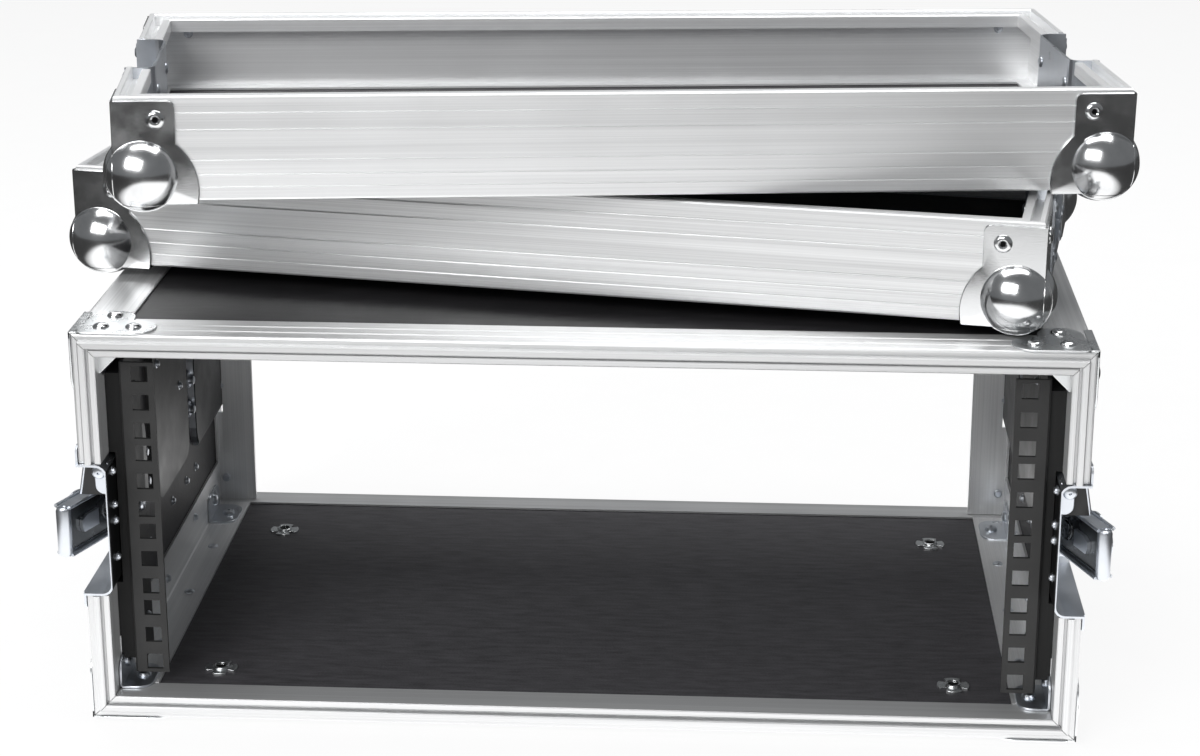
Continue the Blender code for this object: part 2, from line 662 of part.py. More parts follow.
def plate_outline(top):
    """A ball corner's plate on one side face: (along, up) from the lid's corner edge."""
    edge = -PLATE_OUT
    start = math.degrees(math.asin((edge - LOBE_CENTRE[1]) / LOBE_RADIUS))
    stop = math.degrees(math.acos((PLATE_WIDTH - LOBE_CENTRE[0]) / LOBE_RADIUS))
    points = [(edge, edge)] + arc(LOBE_CENTRE, LOBE_RADIUS, start, stop, 6)
    corner = 4 * MM
    points += arc((PLATE_WIDTH - corner, top - corner), corner, 0, 90, 3)
    points.append((edge, top))
    return points


def bottom_outline():
    """The plate on the lid's outer face: a rounded fan from the corner."""
    edge = -PLATE_OUT
    start = math.degrees(math.asin((edge - BOTTOM_LOBE_CENTRE) / BOTTOM_LOBE_RADIUS))
    centre = (BOTTOM_LOBE_CENTRE, BOTTOM_LOBE_CENTRE)
    return [(edge, edge)] + arc(centre, BOTTOM_LOBE_RADIUS, start, 90 - start, 9)


def foot_cone(place, direction):
    """The flare where the ball runs out into one of its plates; direction points off the plate."""
    low, high = PLATE_OUT - 0.4 * MM, PLATE_OUT + 1.5 * MM
    top_radius = math.sqrt(BALL_RADIUS ** 2 - (BALL_INSET + high) ** 2)
    centre = place(BALL_INSET, BALL_INSET, BALL_INSET) + direction * (BALL_INSET + (low + high) / 2)
    mesh = bmesh.new()
    turn = Vector((0, 0, 1)).rotation_difference(direction).to_matrix().to_4x4()
    bmesh.ops.create_cone(mesh, cap_ends=True, segments=26, radius1=BALL_FOOT, radius2=top_radius - 0.2 * MM,
                          depth=high - low, matrix=Matrix.Translation(centre) @ turn)
    return mesh


def make_ball_corner(name, corner_x, corner_y, mats):
    """A pressed ball corner: a ball over the lid's corner and a plate on each of its three faces."""
    def place(a, b, w):
        return Vector((corner_x * (HALF_W - a), corner_y * (HALF_H - b), w))
    outside, inside = -PLATE_OUT, 3 * MM
    ball = bmesh.new()
    bmesh.ops.create_uvsphere(ball, u_segments=26, v_segments=17, radius=BALL_RADIUS,
                              matrix=Matrix.Translation(place(BALL_INSET, BALL_INSET, BALL_INSET)))
    obj = solid(name, ball, mats["chrome"])
    top = LID_HEIGHT - 2 * MM
    join(obj, prism(plate_outline(top), outside, inside, lambda a, w, b: place(a, b, w)))
    join(obj, prism(plate_outline(top), outside, inside, lambda b, w, a: place(a, b, w)))
    join(obj, prism(bottom_outline(), outside, inside, place))
    for direction in ((corner_x, 0, 0), (0, corner_y, 0), (0, 0, -1)):
        join(obj, foot_cone(place, Vector(direction)))
    reach = 90 * MM
    combine(obj, box_mesh((-GAP, -GAP, -GAP), (reach, reach, reach), place))
    smooth_round(obj)
    return obj


def make_catch_dish(name, side, mats):
    """Half dish in the lid's short side, open at the rim, with the catch that the latch draws on."""
    def place(out, along, up):
        return Vector((side * out, up, LID_HEIGHT - along))
    dish = make_dish(name, place, 0.8 * MM, LID_HEIGHT - CATCH_FLOOR, CATCH_CORNER, mats)
    low = (DISH_BACK - 0.5 * MM, 8 * MM, -13 * MM)
    join(dish, box_mesh(low, (DISH_BACK + 3 * MM, 12 * MM, 13 * MM), place))
    join(dish, box_mesh((DISH_BACK + 2.4 * MM, 8 * MM, -13 * MM), (DISH_BACK + 4 * MM, 16 * MM, 13 * MM),
                        place))
    return dish


def make_lid(name, matrix, mats):
    frame = empty(f"{name}_frame", matrix)
    ring = solid(f"{name}_wall", lid_ring_mesh(), mats["aluminium"])
    low, high = PANEL_INSET, LID_LEDGE - GAP
    half_x, half_y = HALF_W - PANEL_INSET, HALF_H - PANEL_INSET
    panel = solid(f"{name}_panel", box_mesh((-half_x, -half_y, low), (half_x, half_y, high)),
                  mats["laminate"])
    pieces = [ring, panel]
    half = DISH_HALF + DISH_SHEET + GAP
    for side_name, side in SIDES.items():
        floor = CATCH_FLOOR - DISH_SHEET - GAP
        out = sorted((side * (DISH_BACK - DISH_SHEET - GAP), side * (HALF_W + 9 * MM)))
        combine(ring, box_mesh((out[0], -half, floor), (out[1], half, LID_HEIGHT + 9 * MM)))
        pieces.append(make_catch_dish(f"{name}_catch_{side_name}", side, mats))
    for end_name, corner_y in ENDS.items():
        for side_name, corner_x in SIDES.items():
            pieces.append(make_ball_corner(f"{name}_ball_{end_name}_{side_name}", corner_x, corner_y, mats))
    for piece in pieces:
        piece.parent = frame


def make_lids(mats):
    lower = Matrix.Translation(LOWER_AT) @ Matrix.Rotation(LOWER_YAW, 4, "Z")
    tilt = Matrix.Rotation(UPPER_TILT, 4, TILT_AXIS)
    upper = Matrix.Translation(UPPER_AT) @ tilt @ Matrix.Rotation(UPPER_YAW, 4, "Z")
    make_lid("lid_lower", lower, mats)
    make_lid("lid_upper", upper, mats)


def main():
    for obj in list(bpy.data.objects):
        bpy.data.objects.remove(obj)
    mats = make_materials()
    make_panels(mats)
    make_frames(mats)
    make_edge_angles(mats)
    make_floor_angles(mats)
    make_rack_rails(mats)
    make_handles(mats)
    make_latches(mats)
    make_lids(mats)
    bpy.context.view_layer.update()


main()
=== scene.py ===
"""Looks of the rack case: materials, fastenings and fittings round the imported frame. In metres."""
import math
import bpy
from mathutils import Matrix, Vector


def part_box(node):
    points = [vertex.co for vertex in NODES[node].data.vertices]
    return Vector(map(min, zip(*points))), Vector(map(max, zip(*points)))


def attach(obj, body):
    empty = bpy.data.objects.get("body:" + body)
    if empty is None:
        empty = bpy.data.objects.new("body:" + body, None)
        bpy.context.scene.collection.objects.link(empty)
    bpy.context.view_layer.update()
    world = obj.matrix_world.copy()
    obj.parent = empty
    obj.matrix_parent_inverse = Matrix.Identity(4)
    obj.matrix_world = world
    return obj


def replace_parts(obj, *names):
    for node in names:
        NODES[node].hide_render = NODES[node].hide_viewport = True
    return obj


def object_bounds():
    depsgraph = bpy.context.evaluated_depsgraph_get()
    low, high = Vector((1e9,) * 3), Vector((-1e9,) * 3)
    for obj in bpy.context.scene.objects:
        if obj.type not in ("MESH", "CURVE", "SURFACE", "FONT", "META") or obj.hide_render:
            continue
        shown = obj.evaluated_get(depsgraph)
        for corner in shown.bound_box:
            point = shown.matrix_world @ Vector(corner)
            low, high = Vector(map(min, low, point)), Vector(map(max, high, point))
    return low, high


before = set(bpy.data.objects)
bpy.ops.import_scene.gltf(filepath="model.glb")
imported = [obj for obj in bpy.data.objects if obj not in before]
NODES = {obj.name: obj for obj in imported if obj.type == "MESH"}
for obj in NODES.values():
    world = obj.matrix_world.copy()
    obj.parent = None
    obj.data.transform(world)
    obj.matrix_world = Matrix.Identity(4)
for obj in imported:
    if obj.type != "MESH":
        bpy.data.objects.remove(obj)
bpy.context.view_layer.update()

import bmesh
import bpy
from mathutils import Matrix, Vector

MM = 0.001
UP = Vector((0, 0, 1))

SIDES = {"left": -1, "right": 1}
ENDS = {"front": -1, "rear": 1}
LEVELS = {"bottom": -1, "top": 1}
LIDS = ("lid_lower", "lid_upper")

# Camera
CAMERA_AT = Vector((0.0839, -1.3961, 0.6285))
CAMERA_YAW = 0.0498
CAMERA_PITCH = 0.307
CAMERA_ROLL = 0.0029
CAMERA_LENS = 77.04
CAMERA_SENSOR = 36
CAMERA_SHIFT = (-0.0181, -0.0544)

# Case, read from the frame
HALF_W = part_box("edge_angle_bottom_right")[1].x
HALF_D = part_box("rear_rail_top")[1].y
CASE_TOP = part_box("front_rail_top")[1].z
CASE_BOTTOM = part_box("front_rail_bottom")[0].z
FLOOR_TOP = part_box("panel_bottom")[1].z
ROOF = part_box("panel_top")[0].z
WALL_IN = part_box("panel_right")[0].x
WALL_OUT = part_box("panel_right")[1].x
DISH_REAR, DISH_FACE = (corner.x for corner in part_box("latch_front_right_dish"))
RACK_RAIL_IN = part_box("rack_rail_right")[1].x
PAN_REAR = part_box("handle_pan_right")[0].x
PAN_FACE = WALL_OUT + 1.5 * MM
HANDLE_MID = sum(corner.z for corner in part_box("handle_pan_right")) / 2
FLANGE_LOW, FLANGE_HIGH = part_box("floor_angle_right")

# Fastener sections, (radius, height) in mm above the face they sit on
TUBULAR = ((0, -0.3), (4.8, -0.3), (4.8, 0.3), (4.2, 1.1), (3.0, 1.6), (2.2, 1.5), (1.6, 1.0),
           (1.5, 0), (0, 0))
RIVET = ((0, -0.3), (4.3, -0.3), (4.3, 0.2), (3.9, 0.9), (3.0, 1.5), (1.7, 1.85), (0, 1.9))
SMALL_RIVET = ((0, -0.3), (3.1, -0.3), (3.1, 0.2), (2.7, 0.8), (1.9, 1.2), (0, 1.4))
RIVET_TAIL = ((0, -0.3), (2.7, -0.3), (2.7, 0.3), (2.0, 0.5), (1.9, 1.3), (1.3, 1.9), (0, 2.1))
BOLT_END = ((0, -0.3), (5.2, -0.3), (5.2, 1.4), (4.4, 2.2), (2.6, 2.2), (2.5, 4.5), (1.8, 5),
            (0, 5))
PAN_SCREW = ((0, -0.3), (3.8, -0.3), (3.8, 0.8), (3, 1.9), (1.6, 2.4), (0.9, 2.4), (0.8, 1.2),
             (0, 1.2))
# A thin disc low in a tubular rivet's hole, in the shadow finish: painted shadow in the bore.
TUBE_BORE = ((0, -0.2), (1.45, -0.2), (1.45, 0.1), (0, 0.1))
BORE_SIDES = 20
FINE_SIDES = 32

# Plates are sunk this far into the face they sit on
SINK = 0.1 * MM


# ---------------------------------------------------------------- materials
NOISE_ENDS = (0.3, 0.7)
NOISE_ROUGHNESS = 0.55


class Shader:
    """A small wrapper round a material's node tree."""

    def __init__(self, name):
        self.mat = bpy.data.materials.new(name)
        self.mat.use_nodes = True
        self.tree = self.mat.node_tree
        self.bsdf = self.tree.nodes["Principled BSDF"]

    def node(self, kind, **settings):
        node = self.tree.nodes.new(kind)
        for key, value in settings.items():
            setattr(node, key, value)
        return node

    def link(self, output, target):
        self.tree.links.new(output, target)

    def fill(self, node, **values):
        """Sets a node's unlinked inputs by name, with _ for a space."""
        for key, value in values.items():
            node.inputs[key.replace("_", " ")].default_value = value

    def set(self, **values):
        self.fill(self.bsdf, **values)

    def coordinates(self, scale, turn=(0, 0, 0)):
        """Object coordinates turned into a part's own directions, then scaled per axis."""
        coords = self.node("ShaderNodeTexCoord")
        turned = self.node("ShaderNodeMapping")
        turned.inputs["Rotation"].default_value = turn
        self.link(coords.outputs["Object"], turned.inputs["Vector"])
        size = self.node("ShaderNodeMapping")
        size.inputs["Scale"].default_value = scale
        self.link(turned.outputs["Vector"], size.inputs["Vector"])
        return size.outputs["Vector"]

    def noise(self, scale, detail, turn=(0, 0, 0)):
        """Noise of so many cells to a metre along each axis."""
        node = self.node("ShaderNodeTexNoise")
        self.fill(node, Scale=1.0, Detail=detail, Roughness=NOISE_ROUGHNESS)
        self.link(self.coordinates(scale, turn), node.inputs["Vector"])
        return node.outputs["Fac"]

    def math(self, operation, first, second=0):
        node = self.node("ShaderNodeMath", operation=operation)
        for slot, value in zip(node.inputs, (first, second)):
            if isinstance(value, (int, float)):
                slot.default_value = value
            else:
                self.link(value, slot)
        return node.outputs[0]

    def blend(self, first, second, share):
        """first * (1 - share) + second * share."""
        return self.math("ADD", self.math("MULTIPLY", first, 1 - share),
                         self.math("MULTIPLY", second, share))

    def position(self):
        """The point's object coordinates, one output for each axis."""
        split = self.node("ShaderNodeSeparateXYZ")
        self.link(self.node("ShaderNodeTexCoord").outputs["Object"], split.inputs[0])
        return split.outputs

    def tones(self, value, low, high, tint):
        """A tinted grey that runs from low to high over the middle of a noise's range."""
        node = self.node("ShaderNodeValToRGB")
        stops = zip(node.color_ramp.elements, NOISE_ENDS, (low, high))
        for element, position, level in stops:
            element.position = position
            element.color = (*(level * share for share in tint), 1)
        self.link(value, node.inputs["Fac"])
        return node.outputs["Color"]

    def span(self, value, ends, results):
        """Maps a value between two ends onto two results."""
        node = self.node("ShaderNodeMapRange")
        self.fill(node, From_Min=ends[0], From_Max=ends[1], To_Min=results[0], To_Max=results[1])
        self.link(value, node.inputs["Value"])
        return node.outputs["Result"]

    def colour(self, value, low, high, tint=(1, 1, 1)):
        self.link(self.tones(value, low, high, tint), self.bsdf.inputs["Base Color"])

    def roughness(self, value, low, high):
        self.link(self.span(value, NOISE_ENDS, (low, high)), self.bsdf.inputs["Roughness"])

    def bump(self, height, strength, distance):
        node = self.node("ShaderNodeBump")
        self.fill(node, Strength=strength, Distance=distance)
        self.link(height, node.inputs["Height"])
        self.link(node.outputs["Normal"], self.bsdf.inputs["Normal"])


def extruded_aluminium(name, along, tone, rough=(0.30, 0.46), turn=(0, 0, 0)):
    """Satin aluminium extrusion: die lines run along it, broad ones over fine ones."""
    shader = Shader(name)

    def lines(across, lengthwise):
        return tuple(lengthwise if axis in along else across for axis in "xyz")
    fine = shader.noise(lines(across=1500, lengthwise=4), detail=3.0, turn=turn)
    broad = shader.noise(lines(across=150, lengthwise=1.2), detail=2.0, turn=turn)
    clouds = shader.noise((22, 22, 22), detail=4.0, turn=turn)
    streaks = shader.blend(fine, broad, share=0.5)
    shader.set(Metallic=0.72)
    shader.colour(streaks, *tone, tint=(0.995, 1.0, 1.005))
    shader.roughness(shader.blend(streaks, clouds, share=0.4), *rough)
    shader.bump(streaks, strength=0.22, distance=0.2 * MM)
    return shader.mat


def laminate(name, tone):
    """Black laminate board with a faint pebbled grain and dry scuffs."""
    shader = Shader(name)
    pebble = shader.noise((900, 900, 900), detail=2.0)
    grain = shader.noise((60, 320, 320), detail=4.0)
    haze = shader.noise((7, 7, 7), detail=4.0)
    shader.colour(shader.blend(pebble, grain, share=0.65), *tone, tint=(1.0, 0.965, 1.06))
    shader.roughness(haze, low=0.44, high=0.56)
    shader.set(Specular_IOR_Level=0.42)
    shader.bump(pebble, strength=0.3, distance=0.15 * MM)
    return shader.mat


def powder_coat(name, tone, rough, specular=0.4):
    """Black powder coat: fine orange peel, a little rubbed; the near black of the painted shadow in
    bores is made the same way.
    """
    shader = Shader(name)
    peel = shader.noise((800, 800, 800), detail=3.0)
    wear = shader.noise((45, 45, 45), detail=5.0)
    shader.colour(wear, low=tone * 0.75, high=tone * 1.3)
    shader.roughness(wear, low=rough - 0.05, high=rough + 0.08)
    shader.set(Specular_IOR_Level=specular)
    shader.bump(peel, strength=0.3, distance=0.2 * MM)
    return shader.mat


def plated(name, tint, tone, rough, hairlines, painted_dark_within=None):
    """Plated steel: bright metal, cloudy, with faint hairlines; within a half width cut to near
    black, a painted dark reflection.
    """
    shader = Shader(name)
    clouds = shader.noise((55, 55, 55), detail=5.0)
    hair = shader.noise((260, 260, 2400), detail=2.0)
    shader.set(Metallic=1.0)
    if painted_dark_within is None:
        shader.colour(clouds, *tone, tint=tint)
    else:
        # Near black within the half width: painted dark reflection.
        from_middle = shader.math("ABSOLUTE", shader.position()["X"])
        outside = shader.math("GREATER_THAN", from_middle, painted_dark_within)
        black = 0.04
        shade = shader.math("ADD", shader.math("MULTIPLY", outside, 1 - black), black)
        scaled = shader.node("ShaderNodeVectorMath", operation="SCALE")
        shader.link(shader.tones(clouds, *tone, tint), scaled.inputs[0])
        shader.link(shade, scaled.inputs["Scale"])
        shader.link(scaled.outputs[0], shader.bsdf.inputs["Base Color"])
    shader.roughness(clouds, *rough)
    shader.bump(hair, strength=hairlines, distance=0.1 * MM)
    return shader.mat


def painted_wood(name):
    """Black stain over a planed softwood batten."""
    shader = Shader(name)
    grain = shader.noise((400, 400, 22), detail=5.0)
    shader.colour(grain, low=0.006, high=0.014)
    shader.roughness(grain, low=0.6, high=0.8)
    shader.set(Specular_IOR_Level=0.25)
    shader.bump(grain, strength=0.35, distance=0.3 * MM)
    return shader.mat


# ---------------------------------------------------------------- where the lids lie
LID_PANEL_MID = 6.3 * MM


def lid_matrix(lid):
    """The lid's own frame: origin mid outer face, x along its length, z towards the rim."""
    corners = []
    for vertex in NODES[f"{lid}_panel"].data.vertices:
        if all((vertex.co - known).length > MM for known in corners):
            corners.append(vertex.co.copy())
    first = min(corners, key=lambda point: point.x)
    edges = sorted((point - first for point in corners if point is not first),
                   key=lambda edge: edge.length)
    # In order of length: thickness, depth, the short side's diagonal, length
    up = edges[0].normalized()
    along = edges[3].normalized()
    up = up if up.z > 0 else -up
    along = along if along.x > 0 else -along
    across = up.cross(along)
    centre = sum(corners, Vector()) / len(corners)
    turn = Matrix((along, across, up)).transposed().to_4x4()
    return Matrix.Translation(centre - up * LID_PANEL_MID) @ turn


LID_FRAME = {lid: lid_matrix(lid) for lid in LIDS}

# ---------------------------------------------------------------- finishes
ZINC_TINT = (0.93, 0.97, 1.03)
ZINC_TONE = (0.62, 0.72)
# The two lids are alike: the upper one is given the lighter tone, painted light, and the lower one
# under it the darker tone, painted shade.
LID_LIT_AND_SHADED_TONES = {"lid_lower": (0.60, 0.92), "lid_upper": (0.80, 0.99)}

POST_ROUGH = (0.34, 0.5)

MATS = {
    "rail_x": extruded_aluminium("aluminium_rail", "x", tone=(0.54, 0.74)),
    "angle_y": extruded_aluminium("aluminium_angle", "y", tone=(0.58, 0.78)),
    "post_z": extruded_aluminium("aluminium_post", "z", tone=(0.56, 0.76), rough=POST_ROUGH),
    # The rear posts and the floor angles are given lighter tones than the frame's other aluminium:
    # painted light.
    "post_rear": extruded_aluminium("aluminium_rear_post_painted_light", "z", tone=(0.74, 0.94), rough=POST_ROUGH),
    "angle_floor": extruded_aluminium("aluminium_floor_angle_painted_light", "y", tone=(0.72, 0.92)),
    "laminate": laminate("laminate_black", tone=(0.014, 0.040)),
    # The floor board is given a lighter tone, painted sheen; the top board a darker one, painted
    # dark reflection.
    "laminate_floor": laminate("laminate_painted_sheen", tone=(0.028, 0.076)),
    "laminate_top": laminate("laminate_painted_dark_reflection", tone=(0.008, 0.024)),
    "rail_black": powder_coat("rail_powder_coat", tone=0.022, rough=0.5, specular=0.3),
    "handle": powder_coat("handle_powder_coat", tone=0.02, rough=0.38),
    "batten": painted_wood("batten_paint"),
    "zinc": plated("zinc_plate", ZINC_TINT, ZINC_TONE, rough=(0.26, 0.36), hairlines=0.03),
    # The dishes' backs inside the wall are cut to near black: painted dark reflection.
    "dish": plated("dish_plate", ZINC_TINT, ZINC_TONE, rough=(0.32, 0.42), hairlines=0.03,
                   painted_dark_within=DISH_REAR + 0.6 * MM),
    # Dark zinc for the arm's inner face: painted dark reflection.
    "latch_painted_dark": plated("latch_inner_painted_dark", tint=(0.95, 0.98, 1.0), tone=(0.10, 0.22),
                         rough=(0.18, 0.34), hairlines=0.06),
    "chrome": plated("chrome_plate", tint=(0.99, 1, 1.01), tone=(0.60, 0.74),
                     rough=(0.13, 0.24), hairlines=0.08),
    "brace": plated("brace_plate", tint=(0.98, 1, 1.01), tone=(0.62, 0.74),
                    rough=(0.22, 0.34), hairlines=0.05),
    "grip": powder_coat("grip_rubber", tone=0.012, rough=0.72, specular=0.2),
    # Near-black discs set in rivet and nut bores: painted shadow in the holes.
    "shadow": powder_coat("rivet_bore_painted_shadow", tone=0.004, rough=0.8, specular=0.1),
}
for lid_name, placed in LID_FRAME.items():
    to_lid = placed.to_3x3().inverted().to_euler("XYZ")
    MATS[lid_name] = extruded_aluminium(f"aluminium_{lid_name}", "xy", LID_LIT_AND_SHADED_TONES[lid_name],
                                        rough=(0.27, 0.40), turn=tuple(to_lid))

# The finish of each frame node, by how its name starts
NODE_FINISHES = {
    "panel_bottom": "laminate_floor", "panel_top": "laminate_top", "panel_": "laminate",
    "front_rail": "rail_x", "rear_rail": "rail_x",
    "edge_angle": "angle_y", "floor_angle": "angle_floor",
    "front_post": "post_z", "rear_post": "post_rear",
    "rack_rail": "rail_black", "rail_batten": "batten",
    "handle_": "handle", "latch_": "zinc",
}


def finish_of(node):
    if node.endswith("_wall"):
        return node[:-len("_wall")]
    if node.endswith("_panel"):
        return "laminate"
    if node.endswith("_dish"):
        return "dish"
    for start, finish in NODE_FINISHES.items():
        if node.startswith(start):
            return finish
    return "chrome" if "_ball_" in node else "zinc"


for node_name, node_object in NODES.items():
    node_object.data.materials.clear()
    node_object.data.materials.append(MATS[finish_of(node_name)])


# ---------------------------------------------------------------- mesh helpers
ON_AXIS = 1e-9
ROUND_STEPS = 5
TUBE_SIDES = 12
SHARP_ANGLE = math.radians(32)


def in_mm(outline):
    return [(a * MM, b * MM) for a, b in outline]


def facing(direction, at):
    """A placement whose z axis points along direction, at a point."""
    turn = UP.rotation_difference(Vector(direction)).to_matrix().to_4x4()
    return Matrix.Translation(Vector(at)) @ turn


def link_rings(mesh, low, high):
    """Joins two closed loops of as many points."""
    for k in range(len(low)):
        following = (k + 1) % len(low)
        mesh.faces.new((low[k], low[following], high[following], high[k]))


def lathe(mesh, profile, placement, segments=28, unit=MM):
    """A closed body turned round the placement's z axis; its profile starts and ends there."""
    rings = []
    for radius, height in profile:
        if radius < ON_AXIS:
            rings.append([mesh.verts.new(placement @ Vector((0, 0, height * unit)))])
            continue
        ring = []
        for k in range(segments):
            angle = 2 * math.pi * k / segments
            point = Vector((radius * math.cos(angle), radius * math.sin(angle), height)) * unit
            ring.append(mesh.verts.new(placement @ point))
        rings.append(ring)
    for low, high in zip(rings, rings[1:]):
        if len(low) == len(high):
            link_rings(mesh, low, high)
            continue
        for k in range(segments):
            following = (k + 1) % segments
            if len(low) == 1:
                mesh.faces.new((low[0], high[following], high[k]))
            else:
                mesh.faces.new((low[k], low[following], high[0]))


def slab(mesh, outline, low, high, place):
    """A closed prism: outline points (a, b) between two heights, through a placing function."""
    bottom = [mesh.verts.new(place(a, b, low)) for a, b in outline]
    top = [mesh.verts.new(place(a, b, high)) for a, b in outline]
    mesh.faces.new(bottom)
    mesh.faces.new(top)
    link_rings(mesh, bottom, top)


def arc(centre, radius, start, stop, steps):
    """Points round a centre, between two angles in degrees."""
    points = []
    for k in range(steps + 1):
        angle = math.radians(start + (stop - start) * k / steps)
        points.append((centre[0] + radius * math.cos(angle), centre[1] + radius * math.sin(angle)))
    return points


def rounded(low, high, radius):
    """A rectangle's outline with round corners."""
    points = []
    corners = ((high[0] - radius, high[1] - radius), (low[0] + radius, high[1] - radius),
               (low[0] + radius, low[1] + radius), (high[0] - radius, low[1] + radius))
    for k, corner in enumerate(corners):
        points += arc(corner, radius, 90 * k, 90 * k + 90, ROUND_STEPS)
    return points


def tube(mesh, path, radius):
    """A closed round wire along a list of points."""
    rings = []
    side = None
    for k, point in enumerate(path):
        before, after = path[max(k - 1, 0)], path[min(k + 1, len(path) - 1)]
        along = (after - before).normalized()
        side = along.orthogonal() if side is None else side - along * side.dot(along)
        side.normalize()
        other = along.cross(side)
        ring = []
        for s in range(TUBE_SIDES):
            angle = 2 * math.pi * s / TUBE_SIDES
            out = (side * math.cos(angle) + other * math.sin(angle)) * radius
            ring.append(mesh.verts.new(point + out))
        rings.append(ring)
    for low, high in zip(rings, rings[1:]):
        link_rings(mesh, low, high)
    mesh.faces.new(list(reversed(rings[0])))
    mesh.faces.new(rings[-1])


def new_object(name, mesh):
    """Turns an edited mesh into an object of the scene."""
    data = bpy.data.meshes.new(name)
    mesh.to_mesh(data)
    mesh.free()
    made = bpy.data.objects.new(name, data)
    bpy.context.scene.collection.objects.link(made)
    return made


def piece(name, mesh, finish, body, edge=0.0):
    """Makes the object: outward faces, smooth but for sharp edges, an optional edge radius."""
    bmesh.ops.recalc_face_normals(mesh, faces=mesh.faces)
    for face in mesh.faces:
        face.smooth = True
    for line in mesh.edges:
        line.smooth = not (line.is_manifold and line.calc_face_angle() > SHARP_ANGLE)
    made = new_object(name, mesh)
    made.data.materials.append(MATS[finish])
    if edge:
        bevel = made.modifiers.new("edge", "BEVEL")
        bevel.width = edge
        bevel.segments = 2
        bevel.limit_method = "ANGLE"
        bevel.angle_limit = SHARP_ANGLE
    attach(made, body)
    return made


def fasteners(name, spots, profile, finish, body, segments=28):
    """One piece of several like fasteners; each spot is (point, direction it faces)."""
    mesh = bmesh.new()
    for at, direction in spots:
        lathe(mesh, profile, facing(direction, at), segments)
    return piece(name, mesh, finish, body)


# ---------------------------------------------------------------- lid corners
# In the lid's own frame, from the lid's corner inwards
LID_HALF = (264 * MM, 109 * MM)
LID_RIM = 55 * MM
LID_WALL = 2 * MM
BALL_RADIUS = 20.8 * MM
BALL_CENTRE = (13.3 * MM, 8.2 * MM, 13.6 * MM)
BALL_SIDES = (64, 40)
BALL_FILLET = 0.8 * MM
FILLET_ROOT = 0.3 * MM
FILLET_STEPS = 6
CUTTER_REACH = 60 * MM

PLATE_OUT = 1.5 * MM
PLATE_WIDTH = 31 * MM
PLATE_TOP = LID_RIM - 2 * MM
PLATE_CUT = 11 * MM
PLATE_ROUND = 4 * MM
PLATE_CHAMFER = 0.5 * MM
PLATE_CROWN = 0.02 * MM
# The sloping lobe round the ball: where it ends, as a distance and as a share of the outline's
LOBE_SLOPE = math.tan(math.radians(4.0))
LOBE_INNER, LOBE_INNER_SHARE = 16 * MM, 0.85
LOBE_OUTER, LOBE_OUTER_SHARE = 31 * MM, 0.97
LOBE_TOP = 31 * MM
SIDE_LOBE_CENTRE, SIDE_LOBE_RADIUS = (10 * MM, 6 * MM), 32 * MM
BOTTOM_LOBE_CENTRE, BOTTOM_LOBE_RADIUS = (6 * MM, 6 * MM), 35.4 * MM

BALL_RIVET_IN, BALL_RIVET_UP = 21 * MM, 43.2 * MM
BALL_RIVET_BELOW = (31 * MM, 31 * MM)
BORE_LIFT = 0.05 * MM
RIVET_END_IN = 22 * MM


def side_plate_outline():
    """A corner plate on one side face: (along, up) from the lid's corner edge."""
    edge = -PLATE_OUT
    start = math.degrees(math.asin((edge - SIDE_LOBE_CENTRE[1]) / SIDE_LOBE_RADIUS))
    stop = math.degrees(math.acos((PLATE_WIDTH - SIDE_LOBE_CENTRE[0]) / SIDE_LOBE_RADIUS))
    points = [(edge, PLATE_CUT), (PLATE_CUT, edge)]
    points += arc(SIDE_LOBE_CENTRE, SIDE_LOBE_RADIUS, start, stop, 14)
    points += arc((PLATE_WIDTH - PLATE_ROUND, PLATE_TOP - PLATE_ROUND), PLATE_ROUND, 0, 90, 5)
    return points + [(edge, PLATE_TOP)]


def bottom_plate_outline():
    """The corner plate on the lid's outer face."""
    edge = -PLATE_OUT
    start = math.degrees(math.asin((edge - BOTTOM_LOBE_CENTRE[1]) / BOTTOM_LOBE_RADIUS))
    fan = arc(BOTTOM_LOBE_CENTRE, BOTTOM_LOBE_RADIUS, start, 90 - start, 20)
    return [(edge, PLATE_CUT), (PLATE_CUT, edge)] + fan


def pressed_plate(mesh, outline, centre, place):
    """A plate that slopes off a little round the ball, with a chamfered edge."""
    reaches = [math.hypot(a - centre[0], b - centre[1]) for a, b in outline]

    def level(height):
        return [height] * len(reaches)

    def slope(reach, up):
        if up >= LOBE_TOP:
            return PLATE_CROWN
        return LOBE_SLOPE * max(0, min(LOBE_OUTER, reach) - LOBE_INNER)
    rings = ((reaches, level(-SINK)),
             (reaches, level(PLATE_OUT - PLATE_CHAMFER)),
             ([reach - PLATE_CHAMFER for reach in reaches], level(PLATE_OUT)),
             ([min(LOBE_OUTER, LOBE_OUTER_SHARE * reach) for reach in reaches],
              level(PLATE_OUT + PLATE_CROWN)),
             ([min(LOBE_INNER, LOBE_INNER_SHARE * reach) for reach in reaches],
              [PLATE_OUT + slope(reach, up) for reach, (_, up) in zip(reaches, outline)]))
    loops = []
    for radii, heights in rings:
        loop = []
        for (a, b), whole, radius, height in zip(outline, reaches, radii, heights):
            share = radius / whole
            loop.append(mesh.verts.new(place(centre[0] + (a - centre[0]) * share,
                                             centre[1] + (b - centre[1]) * share, -height)))
        loops.append(loop)
    mesh.faces.new(loops[0])
    mesh.faces.new(loops[-1])
    for low, high in zip(loops, loops[1:]):
        link_rings(mesh, low, high)


def fillet_profile(inset):
    """The flare between ball and plate, measured off the plate's face."""
    rise = inset + PLATE_OUT + BALL_FILLET
    reach = math.sqrt((BALL_RADIUS + BALL_FILLET) ** 2 - rise ** 2)
    lean = math.degrees(math.atan2(rise, reach))
    curve = arc((reach, BALL_FILLET), BALL_FILLET, 270, 180 + lean, FILLET_STEPS)
    return [(0, -FILLET_ROOT), (reach, -FILLET_ROOT)] + curve + [(0, curve[-1][1])]


